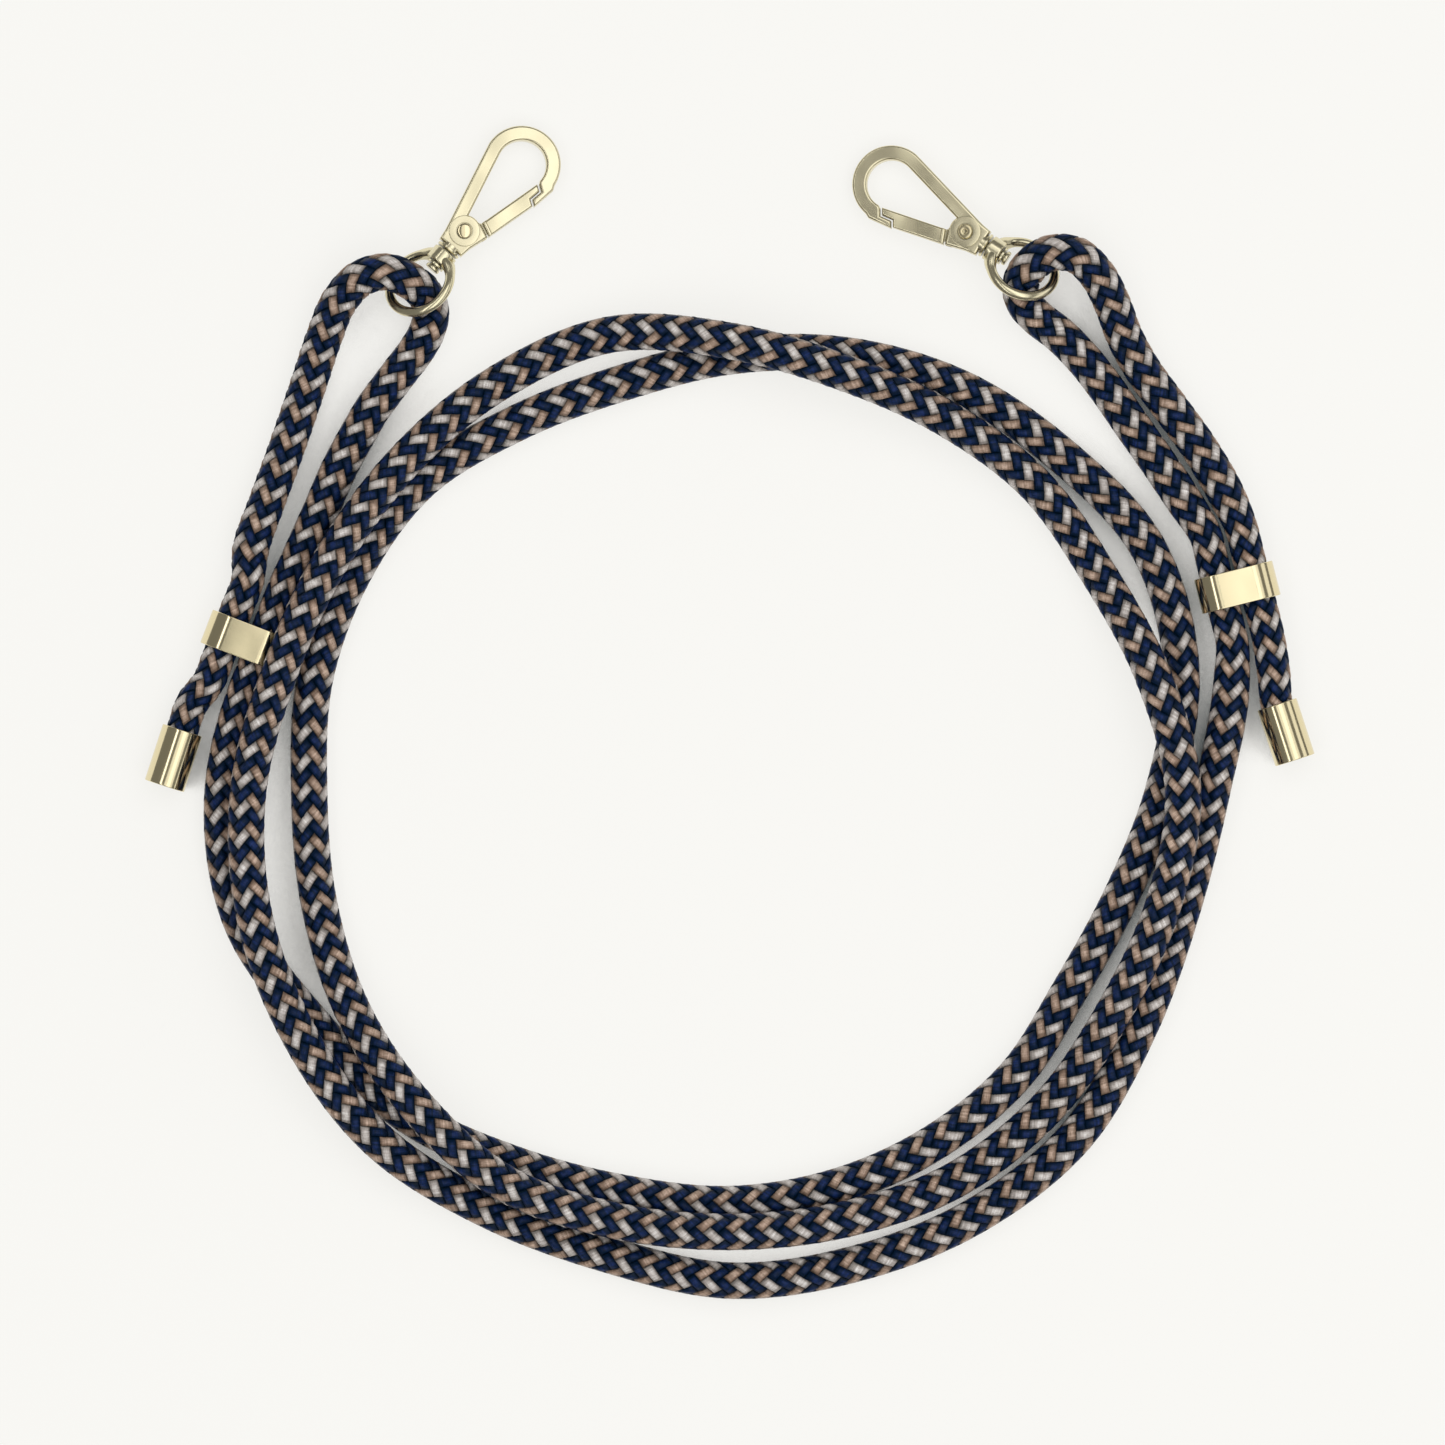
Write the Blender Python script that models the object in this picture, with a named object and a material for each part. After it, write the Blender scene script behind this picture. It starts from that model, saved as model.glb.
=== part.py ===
"""Adjustable rope lead: 2 m of 8 mm braided rope with a swivel snap hook at each end.

The rope lies in two and a half loose turns. At each end it runs through a flat slider,
over the rim of a swivel ring, down through the ring and back through the same slider,
and the tail that is left ends in a metal cap.

All numbers are millimetres; build_mesh and build_tube turn them into metres.
+Z is up, z = 0 is the table, and the origin lies midway between the metal parts.
"""
import math

import bmesh
import bpy
import numpy as np
from mathutils import Matrix, Vector

MM = 0.001
GAP = 0.3                      # clearance between pieces that touch
CUT_PAST = 2.0                 # how far a cutter runs past what it cuts
AXIS_MARK = 5.0                # drawn size of the empties on the joints' axes

# Rope
ROPE_DIAMETER = 8.0
ROPE_RADIUS = ROPE_DIAMETER / 2
SQUEEZED_RADIUS = 3.6          # where two strands share a slider
COIL_FLAT = ROPE_DIAMETER / 10  # how far the coil's underside is pressed flat
BEND_STEP = math.radians(15)   # most turn between two points of a tube
RUN_STEP = 18.0                # most length between two points of a tube
CHORD_STRAY = 0.12             # most distance between the curve and the tube's chords

# Coil: one radius and one height of the rope's middle for every 15 degrees
COIL_CENTRE = (0.0, -70.7)
COIL_STEPS_PER_TURN = 24
COIL_START_ANGLE = 180
COIL_START_HEADING = -96.5     # direction of the rope in plan where the coil begins
COIL_END_HEADING = 77.0
COIL_RADII = (
    108.0, 107.8, 101.5, 97.6, 92.0, 88.8, 88.2, 87.5, 86.8, 86.0, 84.1, 86.5,
    92.4, 99.6, 103.0, 100.5, 98.8, 95.9, 92.4, 89.7, 90.4, 93.0, 92.5, 91.5,
    89.6, 90.7, 92.9, 94.4, 96.2, 94.7, 93.9, 94.5, 95.9, 95.6, 94.3, 95.3,
    96.3, 93.2, 91.1, 92.0, 91.5, 92.0, 95.5, 100.3, 99.7, 98.4, 97.8, 98.8,
    102.3, 104.5, 105.2, 105.6, 103.2, 102.3, 104.5, 104.4, 104.7, 104.3, 100.9, 99.7,
    102.8,
)
COIL_HEIGHTS = (
    4.0, 3.2, 3.2, 3.2, 3.2, 3.2, 3.2, 3.2, 3.2, 3.2, 3.2, 3.2,
    3.2, 3.2, 3.2, 3.2, 3.2, 3.2, 3.2, 3.2, 3.2, 3.2, 3.2, 3.2,
    3.2, 3.6, 7.0, 12.0, 11.6, 10.1, 9.6, 8.3, 4.4, 5.0, 8.8, 10.8,
    12.2, 11.6, 4.6, 5.2, 7.8, 11.8, 11.8, 5.6, 5.4, 10.0, 11.4, 12.1,
    11.4, 12.0, 11.8, 7.6, 3.8, 3.2, 3.2, 3.2, 3.2, 3.2, 3.2, 3.2,
    4.0,
)

# End cap, a cup pressed over the rope's end
CAP_LENGTH = 12.5
CAP_RADIUS = 4.4
CAP_WALL = 0.6
CAP_FLOOR = 0.8
CAP_EDGE = 0.5
CAP_ROPE_RADIUS = CAP_RADIUS - CAP_WALL - GAP

# Slider, a flat band round two strands
SLIDER_LENGTH = 7.5
SLIDER_WALL = 0.85
SLIDER_EDGE = 0.2
STRAND_SPACING = 7.7
SLIDER_INNER_RADIUS = SQUEEZED_RADIUS + GAP
SLIDER_OUTER_RADIUS = SLIDER_INNER_RADIUS + SLIDER_WALL
SLIDER_STATIONS = (-10.5, -6.0, 0.0, 6.0, 12.0)  # straight run of the strands, from its middle

# Swivel ring with the boss that holds the post
RING_RADIUS = 7.05             # to the middle of the wire
RING_WIRE_RADIUS = 1.05
RING_HEIGHT = 6.9              # of its middle above the table
SWIVEL_DROP = 7.0              # degrees the post points down, so that the hook's tip lies on the table
RING_ROLL = 37.0               # degrees the ring is rolled about the post
BOSS_RADIUS = 2.8
BOSS_INNER = 5.6               # distances from the ring's middle along the post
BOSS_OUTER = 8.7
BOSS_EDGE = 0.4

# Swivel post and its washer
POST_RADIUS = 0.95
POST_BORE_RADIUS = POST_RADIUS + GAP
POST_HEAD_RADIUS = 1.6
POST_HEAD_LENGTH = 0.8
POST_HEAD_EDGE = 0.3
WASHER_THICKNESS = 0.4
WASHER_RADIUS = 2.0

# Snap hook, drawn flat: u along the post from the hook's base, v towards the spine
HOOK_BASE = BOSS_OUTER + GAP + 1.0  # base of the plate, from the ring's middle
HOOK_THICKNESS = 3.4
HOOK_BEVEL = 0.45
COLLAR_RADIUS = 2.7
COLLAR_LENGTH = HOOK_BASE - BOSS_OUTER - GAP
COLLAR_SINK = 0.5              # how far the collar reaches into the plate
COLLAR_EDGE = 0.25
NECK_RADIUS = COLLAR_RADIUS - 0.6  # between collar and plate
BASE_HALF_WIDTH = 3.0
BASE_FLARE = (2.4, 3.35)       # where the plate has widened from its base, on the gate's side
SPINE_FLARE = (2.2, 3.3)       # and on the spine's side
EYE_CENTRE_U = 23.5
EYE_OUTER_RADIUS = 8.3
EYE_INNER_RADIUS = 5.2
EYE_APEX = (7.7, 1.5)
SPINE_TOP_ANGLE = 98.0         # where the spine's outer edge meets the round end
SPINE_INNER_ANGLE = 106.0
NOSE_CORNER = (23.6, -8.7)
HOUSING_END = ((6.7, -4.65), (7.95, -1.65))
HOUSING_INNER_RADIUS = 3.55    # of the housing's rounded corner at the eye, about the rivet
RIVET_U = 4.5

# Where gate and nose meet, as a step: inner end, two corners, outer end
GATE_STEP = ((22.5, -5.4), (21.6, -6.8), (19.1, -6.4), (18.2, -7.75))
STEP_HALF_GAP = (0.12, -0.18)

# Gate
GATE_THICKNESS = 3.0
GATE_BEVEL = 0.35
GATE_HINGE_END = ((7.05, -4.8), (8.35, -1.75))
RIDGE_WIDTH = 0.9
RIDGE_THICKNESS = 3.5
RIDGE_STEP = 0.2               # how much lower the ridge's far side lies
RIDGE_BEVEL = 0.3
TONGUE_THICKNESS = 1.2
TONGUE_RADIUS = 1.95
SLOT_HEIGHT = TONGUE_THICKNESS + 2 * GAP
SPRING_THICKNESS = 0.3
SPRING_INNER_RADIUS = TONGUE_RADIUS + GAP
SLOT_RADIUS = SPRING_INNER_RADIUS + SPRING_THICKNESS + GAP
SPRING_ARC = (60.0, 232.0)
SLOT_MOUTH = ((5.6, -8.0), (12.0, -8.0), (12.0, 1.05))
TONGUE_ROOT = ((7.6, -4.4), (9.6, -4.6), (9.6, -2.4), (8.5, -2.0))  # where it joins the gate's plate

# Round pad on both faces of the plate, and the gate rivet through it
PAD_RADIUS = 3.3
PAD_HEIGHT = 0.25
RIVET_RADIUS = 0.85
RIVET_BORE_RADIUS = RIVET_RADIUS + GAP
RIVET_HEAD_RADIUS = 1.6
RIVET_HEAD_HEIGHT = 0.45
RIVET_RIM_HEIGHT = 0.15        # of the head's upright rim
RIVET_TUBE_RADIUS = 0.5        # hollow of the peened end
RIVET_TUBE_DEPTH = 0.5

# The two ends of the lead. Headings are degrees from +X in plan; low_side is +1 where the
# ring's low side is left of the post's heading and -1 where it is right of it. Routes are
# points of the rope's middle: tail from the cap to the slider, bight from the slider round
# the ring and back, lead from the slider to the coil.
LEFT = {
    "name": "left",
    "ring": (-65.95, 37.2),
    "heading": 49.5,
    "low_side": 1,
    "slider": (-103.4, -38.8),
    "slider_heading": 69.0,
    "tail_strand": -1,
    "cap_floor": (-120.4, -69.8),
    "cap_heading": 72.0,
    "tail": ((-114.7, -52.6, 4.6),),
    "bight": (
        (-102.1, -19.9, 4.5), (-98.7, -9.7, 4.2), (-95.5, -1.0, 4.1), (-91.9, 9.3, 4.1),
        (-89.3, 17.0, 4.2), (-86.3, 25.9, 5.0), (-82.9, 33.6, 6.9), (-78.2, 38.3, 8.7),
        (-72.9, 39.5, 9.4), (-68.3, 37.8, 8.2), (-64.8, 34.8, 6.3), (-63.6, 31.2, 4.8),
        (-64.5, 27.0, 4.1), (-66.8, 22.9, 4.1), (-70.0, 18.7, 4.1), (-73.1, 14.6, 4.1),
        (-75.9, 10.8, 4.1), (-78.9, 5.7, 4.1), (-83.3, -2.5, 4.1), (-87.0, -11.0, 4.2),
        (-91.0, -19.9, 4.5),
    ),
    "lead": (),
}
RIGHT = {
    "name": "right",
    "ring": (62.35, 40.2),
    "heading": 147.0,
    "low_side": -1,
    "slider": (108.1, -27.5),
    "slider_heading": 104.0,
    "tail_strand": 1,
    "cap_floor": (120.4, -64.3),
    "cap_heading": 108.0,
    "tail": ((115.9, -46.2, 4.6),),
    "bight": (
        (105.9, -8.0, 4.4), (100.3, 1.8, 4.1), (93.7, 11.0, 4.1), (87.7, 19.3, 4.2),
        (84.1, 25.9, 4.6), (81.3, 33.2, 5.8), (78.1, 39.1, 7.6), (73.4, 43.2, 9.1),
        (68.3, 43.5, 9.3), (64.2, 41.1, 8.1), (62.0, 37.3, 6.3), (62.6, 33.3, 4.7),
        (65.6, 29.9, 4.1), (69.9, 26.6, 4.1), (75.1, 21.4, 4.1), (80.5, 14.5, 4.1),
        (85.6, 7.1, 4.1), (90.7, -0.1, 4.1), (96.9, -9.3, 4.5),
    ),
    "lead": ((106.9, -47.5, 4.3),),
}
SIDES = (LEFT, RIGHT)
LAYOUT_SHIFT = (0.0, -0.07)    # from the layout below to the origin midway between the metal parts


# ---------------------------------------------------------------- materials

def make_material(name, colour, roughness, metallic):
    material = bpy.data.materials.new(name)
    material.use_nodes = True
    shader = material.node_tree.nodes["Principled BSDF"]
    shader.inputs["Base Color"].default_value = (*colour, 1.0)
    shader.inputs["Roughness"].default_value = roughness
    shader.inputs["Metallic"].default_value = metallic
    return material


# ---------------------------------------------------------------- objects

def build_mesh(name, bm, material, frame, smooth_angle=35):
    """Turn a bmesh in millimetres into an object whose local axes are the frame's."""
    bmesh.ops.recalc_face_normals(bm, faces=bm.faces)
    bmesh.ops.scale(bm, vec=(MM, MM, MM), verts=bm.verts)
    mesh = bpy.data.meshes.new(name)
    bm.to_mesh(mesh)
    bm.free()
    mesh.shade_smooth()
    mesh.set_sharp_from_angle(angle=math.radians(smooth_angle))
    mesh.materials.append(material)
    piece = bpy.data.objects.new(name, mesh)
    bpy.context.collection.objects.link(piece)
    piece.matrix_world = frame
    return piece


def make_tool(name, bm, frame):
    """A cutter, or a shape to be joined, that is not itself part of the lead."""
    tool = build_mesh(name, bm, TOOL_MATERIAL, frame)
    tool.hide_render = True
    tool.display_type = "WIRE"
    return tool


def combine(piece, operation, tool):
    modifier = piece.modifiers.new(f"{operation.lower()} {tool.name}", "BOOLEAN")
    modifier.operation = operation
    modifier.object = tool


def parent_to(piece, axis_empty):
    """Hang a piece on the empty that stands on its joint's axis, without moving it."""
    placed = piece.matrix_world.copy()
    piece.parent = axis_empty
    piece.matrix_parent_inverse = axis_empty.matrix_world.inverted()
    piece.matrix_world = placed


def make_empty(name, frame):
    empty = bpy.data.objects.new(name, None)
    empty.empty_display_size = AXIS_MARK * MM
    bpy.context.collection.objects.link(empty)
    empty.matrix_world = frame
    return empty


# ---------------------------------------------------------------- shapes

def arc(centre, radius, start, end, count):
    """Points of an arc, both ends included, angles in degrees."""
    points = []
    for i in range(count):
        angle = math.radians(start + (end - start) * i / (count - 1))
        points.append((centre[0] + radius * math.cos(angle), centre[1] + radius * math.sin(angle)))
    return points


def lathe(profile, closed=False, steps=24):
    """Spin a profile of (radius, height) about Z. It is closed, or has both ends on the axis."""
    bm = bmesh.new()
    verts = [bm.verts.new((radius, 0.0, height)) for radius, height in profile]
    edges = [bm.edges.new(pair) for pair in zip(verts, verts[1:])]
    if closed:
        edges.append(bm.edges.new((verts[-1], verts[0])))
    bmesh.ops.spin(bm, geom=verts + edges, axis=(0, 0, 1), cent=(0, 0, 0),
                   angle=math.tau, steps=steps, use_merge=True)
    bmesh.ops.remove_doubles(bm, verts=bm.verts, dist=0.001)
    return bm


def slab(outline, thickness, bevel=0.0):
    """Extrude a flat outline to both sides of z = 0, with its rims bevelled."""
    bm = bmesh.new()
    face = bm.faces.new([bm.verts.new((u, v, -thickness / 2)) for u, v in outline])
    raised = bmesh.ops.extrude_face_region(bm, geom=[face])["geom"]
    top = [item for item in raised if isinstance(item, bmesh.types.BMVert)]
    bmesh.ops.translate(bm, verts=top, vec=(0, 0, thickness))
    if bevel:
        rims = [edge for edge in bm.edges if abs(edge.verts[0].co.z - edge.verts[1].co.z) < 1e-4]
        bmesh.ops.bevel(bm, geom=rims, offset=bevel, segments=2, profile=0.6, affect="EDGES")
    return bm


def rod(radius, start, end, steps=20):
    """A plain round bar about Z."""
    return lathe([(0, start), (radius, start), (radius, end), (0, end)], steps=steps)


def turned_along_u(bm):
    """Turn a shape that was spun about Z so that its axis lies along +X, the post's direction."""
    bmesh.ops.rotate(bm, verts=bm.verts, cent=(0, 0, 0), matrix=Matrix.Rotation(math.pi / 2, 3, "Y"))
    return bm


def moved(bm, u=0.0, v=0.0, w=0.0):
    bmesh.ops.translate(bm, verts=bm.verts, vec=(u, v, w))
    return bm


# ---------------------------------------------------------------- frames

def plan_direction(heading):
    angle = math.radians(heading)
    return Vector((math.cos(angle), math.sin(angle), 0.0))


def layout_point(x, y, z):
    return Vector((x - LAYOUT_SHIFT[0], y - LAYOUT_SHIFT[1], z))


def frame_from(origin, x_axis, y_axis, z_axis):
    """A matrix in metres from an origin in millimetres and three unit axes."""
    turn = Matrix((x_axis, y_axis, z_axis)).transposed().to_4x4()
    return Matrix.Translation(origin * MM) @ turn


def swivel_frame(side, roll):
    """Frame at the ring's middle: X along the post, Y to the ring's low side when rolled."""
    heading = plan_direction(side["heading"])
    drop = math.radians(SWIVEL_DROP)
    along = heading * math.cos(drop) - Vector((0, 0, math.sin(drop)))
    across = side["low_side"] * Vector((-heading.y, heading.x, 0.0))
    upward = side["low_side"] * along.cross(across)
    angle = math.radians(roll)
    across = across * math.cos(angle) - upward * math.sin(angle)
    return frame_from(layout_point(*side["ring"], RING_HEIGHT), along, across, along.cross(across))


def hook_frame(side):
    """Frame at the middle of the hook's base, with the plate's face square to Z."""
    return swivel_frame(side, 0.0) @ Matrix.Translation((HOOK_BASE * MM, 0, 0))


def slider_frame(side):
    """Frame at the slider's middle: Z along the strands, X across both strands, Y up."""
    along = plan_direction(side["slider_heading"])
    upward = Vector((0, 0, 1))
    origin = layout_point(*side["slider"], SLIDER_OUTER_RADIUS)
    return frame_from(origin, upward.cross(along), upward, along)


def cap_frame(side):
    """Frame at the middle of the cap's closed end: Z towards its mouth."""
    along = plan_direction(side["cap_heading"])
    upward = Vector((0, 0, 1))
    return frame_from(layout_point(*side["cap_floor"], CAP_RADIUS), upward.cross(along), upward, along)


# ---------------------------------------------------------------- rope

def smooth_curve(route, step):
    """Fine points of a smooth curve through rows of x, y, z, radius."""
    rows = np.array(route, float)
    runs = np.linalg.norm(np.diff(rows[:, :3], axis=0), axis=1)
    slopes = np.diff(rows, axis=0) / runs[:, None]
    tangents = np.empty_like(rows)
    tangents[0], tangents[-1] = slopes[0], slopes[-1]
    before, after = runs[:-1, None], runs[1:, None]
    tangents[1:-1] = (slopes[:-1] * after + slopes[1:] * before) / (before + after)
    pieces = []
    for i, run in enumerate(runs):
        t = np.linspace(0, 1, max(2, round(run / step)), endpoint=False)[:, None]
        pieces.append(
            (2 * t**3 - 3 * t**2 + 1) * rows[i]
            + (t**3 - 2 * t**2 + t) * run * tangents[i]
            + (3 * t**2 - 2 * t**3) * rows[i + 1]
            + (t**3 - t**2) * run * tangents[i + 1]
        )
    return np.concatenate(pieces + [rows[-1:]])


def thin_out(fine):
    """Keep the fewest points whose chords stay close to the curve and turn little at each."""
    directions = np.diff(fine[:, :3], axis=0)
    directions /= np.linalg.norm(directions, axis=1)[:, None]
    kept = [0]
    for i in range(2, len(fine)):
        last = kept[-1]
        chord = fine[i, :3] - fine[last, :3]
        run = np.linalg.norm(chord)
        offsets = fine[last:i, :3] - fine[last, :3]
        stray = np.linalg.norm(np.cross(offsets, chord / run), axis=1).max()
        turn = math.acos(min(1.0, float(directions[i - 1] @ directions[last])))
        narrowing = abs(fine[i, 3] - fine[last, 3])
        if stray > CHORD_STRAY or turn > BEND_STEP or run > RUN_STEP or narrowing > CHORD_STRAY:
            kept.append(i - 1)
    return fine[kept + [len(fine) - 1]]


def coil_rows():
    """Middle of the coiled rope, with a straight run of one diameter at each end."""
    rows = []
    for i, (radius, height) in enumerate(zip(COIL_RADII, COIL_HEIGHTS)):
        angle = math.radians(COIL_START_ANGLE + 360 * i / COIL_STEPS_PER_TURN)
        x = COIL_CENTRE[0] + radius * math.cos(angle)
        y = COIL_CENTRE[1] + radius * math.sin(angle)
        rows.append(layout_point(x, y, height))
    entry = rows[0] - plan_direction(COIL_START_HEADING) * ROPE_DIAMETER
    exit_point = rows[-1] + plan_direction(COIL_END_HEADING) * ROPE_DIAMETER
    return [entry] + rows + [exit_point]


def least_gap(points, radius, parts=8):
    """Least clear distance of a tube to its own other turns, on points along its middle."""
    line = np.array([tuple(point) for point in points])
    fine = []
    for start, end in zip(line, line[1:]):
        fine += [start + (end - start) * k / parts for k in range(parts)]
    fine = np.array(fine + [line[-1]])
    steps = np.linalg.norm(np.diff(fine, axis=0), axis=1)
    along = np.concatenate([[0.0], np.cumsum(steps)])
    apart = np.linalg.norm(fine[:, None] - fine[None], axis=2)
    apart[np.abs(along[:, None] - along[None]) < 6 * radius] = np.inf
    return float(apart.min()) - 2 * radius


def slider_run(side, strand):
    """Straight points of one strand through the slider, in the order of the stations."""
    along = plan_direction(side["slider_heading"])
    across = Vector((along.y, -along.x, 0.0))
    middle = layout_point(*side["slider"], SLIDER_OUTER_RADIUS) + across * strand * STRAND_SPACING / 2
    return [middle + along * station for station in SLIDER_STATIONS]


def arm_route(side, coil_end, heading):
    """Rows of x, y, z, radius from the rope's end in the cap to the coil."""
    towards_mouth = plan_direction(side["cap_heading"])
    closed_end = layout_point(*side["cap_floor"], CAP_RADIUS)
    in_cap = CAP_LENGTH - CAP_FLOOR - GAP
    rope_end = closed_end + towards_mouth * (CAP_FLOOR + GAP)
    cap_run = [rope_end + towards_mouth * in_cap * share for share in (0.0, 0.5, 1.03)]
    away = plan_direction(heading)
    coil_run = [coil_end + away * (GAP + ROPE_DIAMETER), coil_end + away * GAP]
    free = {key: [layout_point(*row) for row in side[key]] for key in ("tail", "bight", "lead")}
    tail_run = slider_run(side, side["tail_strand"])
    main_run = slider_run(side, -side["tail_strand"])[::-1]
    sections = (
        (cap_run, CAP_ROPE_RADIUS),
        (free["tail"], SQUEEZED_RADIUS),
        (tail_run, SQUEEZED_RADIUS),
        (free["bight"], ROPE_RADIUS),
        (main_run, SQUEEZED_RADIUS),
        (free["lead"] + coil_run, ROPE_RADIUS),
    )
    return [(*point, radius) for points, radius in sections for point in points]


def build_tube(name, rows, sides_level, material):
    """A closed round tube through rows of x, y, z, radius, as a curve object."""
    curve = bpy.data.curves.new(name, "CURVE")
    curve.dimensions = "3D"
    curve.bevel_depth = ROPE_RADIUS * MM
    curve.bevel_resolution = sides_level
    curve.use_fill_caps = True
    spline = curve.splines.new("POLY")
    spline.points.add(len(rows) - 1)
    for point, (x, y, z, radius) in zip(spline.points, rows):
        point.co = (x * MM, y * MM, z * MM, 1.0)
        point.radius = radius / ROPE_RADIUS
    curve.materials.append(material)
    tube = bpy.data.objects.new(name, curve)
    bpy.context.collection.objects.link(tube)
    return tube


def mesh_from_curve(tube):
    """The same tube as a mesh object, so that it can be cut."""
    evaluated = tube.evaluated_get(bpy.context.evaluated_depsgraph_get())
    mesh = bpy.data.meshes.new_from_object(evaluated)
    name, curve = tube.name, tube.data
    bpy.data.objects.remove(tube)
    bpy.data.curves.remove(curve)
    mesh.name = name
    piece = bpy.data.objects.new(name, mesh)
    bpy.context.collection.objects.link(piece)
    return piece


def build_coil(material):
    points = coil_rows()
    coil = mesh_from_curve(build_tube("rope_coil", [(*p, ROPE_RADIUS) for p in points], 1, material))
    reach = 2 * max(COIL_RADII)
    table = bmesh.new()
    bmesh.ops.create_cube(table, size=1.0)
    bmesh.ops.scale(table, vec=(2 * reach, 2 * reach, 10.0), verts=table.verts)
    moved(table, COIL_CENTRE[0], COIL_CENTRE[1], -5.0)
    combine(coil, "DIFFERENCE", make_tool("table_cutter", table, Matrix.Identity(4)))
    print(f"rope_coil: least gap to itself {least_gap(points, ROPE_RADIUS):.2f} mm")
    return points


def build_arms(coil_points, material):
    ends = (
        (LEFT, coil_points[0], COIL_START_HEADING + 180),
        (RIGHT, coil_points[-1], COIL_END_HEADING),
    )
    for side, coil_end, heading in ends:
        fine = smooth_curve(arm_route(side, coil_end, heading), 1.0)
        build_tube(f"rope_{side['name']}_arm", thin_out(fine), 2, material)


# ---------------------------------------------------------------- metal parts

def build_cap(side, material):
    bore = CAP_RADIUS - CAP_WALL
    profile = [
        (0, 0), (CAP_RADIUS - CAP_EDGE, 0), (CAP_RADIUS - 0.3 * CAP_EDGE, 0.3 * CAP_EDGE),
        (CAP_RADIUS, CAP_EDGE), (CAP_RADIUS, CAP_LENGTH), (bore, CAP_LENGTH),
        (bore, CAP_FLOOR), (0, CAP_FLOOR),
    ]
    build_mesh(f"{side['name']}_end_cap", lathe(profile, steps=28), material, cap_frame(side))


def build_slider(side, material):
    """A rounded wall profile swept round the flat oval of the two strands."""
    half = SLIDER_LENGTH / 2
    wall, edge = SLIDER_WALL, SLIDER_EDGE
    profile = [
        (0, edge - half), (edge, -half), (wall - edge, -half), (wall, edge - half),
        (wall, half - edge), (wall - edge, half), (edge, half), (0, half - edge),
    ]
    bm = bmesh.new()
    loops = []
    for centre, start in ((STRAND_SPACING / 2, -90), (-STRAND_SPACING / 2, 90)):
        for i in range(13):
            angle = math.radians(start + 180 * i / 12)
            loop = []
            for offset, height in profile:
                radius = SLIDER_INNER_RADIUS + offset
                across, upward = centre + radius * math.cos(angle), radius * math.sin(angle)
                loop.append(bm.verts.new((across, upward, height)))
            loops.append(loop)
    for loop, following in zip(loops, loops[1:] + loops[:1]):
        for i, vert in enumerate(loop):
            j = (i + 1) % len(loop)
            bm.faces.new((vert, loop[j], following[j], following[i]))
    frame = slider_frame(side)
    slider = build_mesh(f"{side['name']}_slider", bm, material, frame)
    parent_to(slider, make_empty(f"{side['name']}_slider_axis", frame))


def build_ring(side, material, swing):
    name = side["name"]
    frame = swivel_frame(side, RING_ROLL)
    wire = lathe([(RING_RADIUS + x, z) for x, z in arc((0, 0), RING_WIRE_RADIUS, 0, 324, 10)],
                 closed=True, steps=40)
    ring = build_mesh(f"{name}_swivel_ring", wire, material, frame)
    boss_profile = [
        (0, BOSS_INNER), (BOSS_RADIUS - BOSS_EDGE, BOSS_INNER), (BOSS_RADIUS, BOSS_INNER + BOSS_EDGE),
        (BOSS_RADIUS, BOSS_OUTER - BOSS_EDGE), (BOSS_RADIUS - BOSS_EDGE, BOSS_OUTER), (0, BOSS_OUTER),
    ]
    boss = turned_along_u(lathe(boss_profile))
    combine(ring, "UNION", make_tool(f"{name}_boss_shape", boss, frame))
    bore = turned_along_u(rod(POST_BORE_RADIUS, BOSS_INNER - CUT_PAST, BOSS_OUTER + CUT_PAST))
    combine(ring, "DIFFERENCE", make_tool(f"{name}_boss_bore", bore, frame))
    parent_to(ring, swing)

    outer = BOSS_INNER - GAP
    inner = outer - WASHER_THICKNESS
    washer_profile = [
        (POST_BORE_RADIUS, inner), (WASHER_RADIUS, inner), (WASHER_RADIUS, outer), (POST_BORE_RADIUS, outer),
    ]
    washer = build_mesh(f"{name}_swivel_washer", turned_along_u(lathe(washer_profile, closed=True)),
                        material, frame)
    parent_to(washer, swing)


def build_post(side, material, swivel):
    """Headed pin that holds the hook to the ring and lets it turn."""
    washer_inner = BOSS_INNER - GAP - WASHER_THICKNESS
    head_top = washer_inner - GAP
    head_end = head_top - POST_HEAD_LENGTH
    slot_edge = HOOK_BASE + RIVET_U - SLOT_RADIUS
    tip = slot_edge - 2 * GAP
    profile = [
        (0, head_end), (0.7 * POST_HEAD_RADIUS, head_end), (POST_HEAD_RADIUS, head_end + POST_HEAD_EDGE),
        (POST_HEAD_RADIUS, head_top), (POST_RADIUS, head_top), (POST_RADIUS, tip), (0, tip),
    ]
    post = build_mesh(f"{side['name']}_swivel_post", turned_along_u(lathe(profile, steps=20)),
                      material, swivel_frame(side, 0.0))
    parent_to(post, swivel)


def hook_outline():
    """The hook's plate: base, housing, spine, round end and nose, anticlockwise from the base."""
    eye = (EYE_CENTRE_U, 0.0)
    du, dv = STEP_HALF_GAP
    step = [(u + du, v + dv) for u, v in GATE_STEP]
    points = [(0.0, -BASE_HALF_WIDTH), (BASE_FLARE[0], -BASE_FLARE[1])]
    points += list(HOUSING_END)
    points += arc((RIVET_U, 0), HOUSING_INNER_RADIUS, -16, 14, 5)
    points.append(EYE_APEX)
    points += arc(eye, EYE_INNER_RADIUS, SPINE_INNER_ANGLE, -92, 26)
    points += step
    points.append(NOSE_CORNER)
    points += arc(eye, EYE_OUTER_RADIUS, -82, SPINE_TOP_ANGLE, 24)
    points += [SPINE_FLARE, (0.0, BASE_HALF_WIDTH)]
    return points


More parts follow.
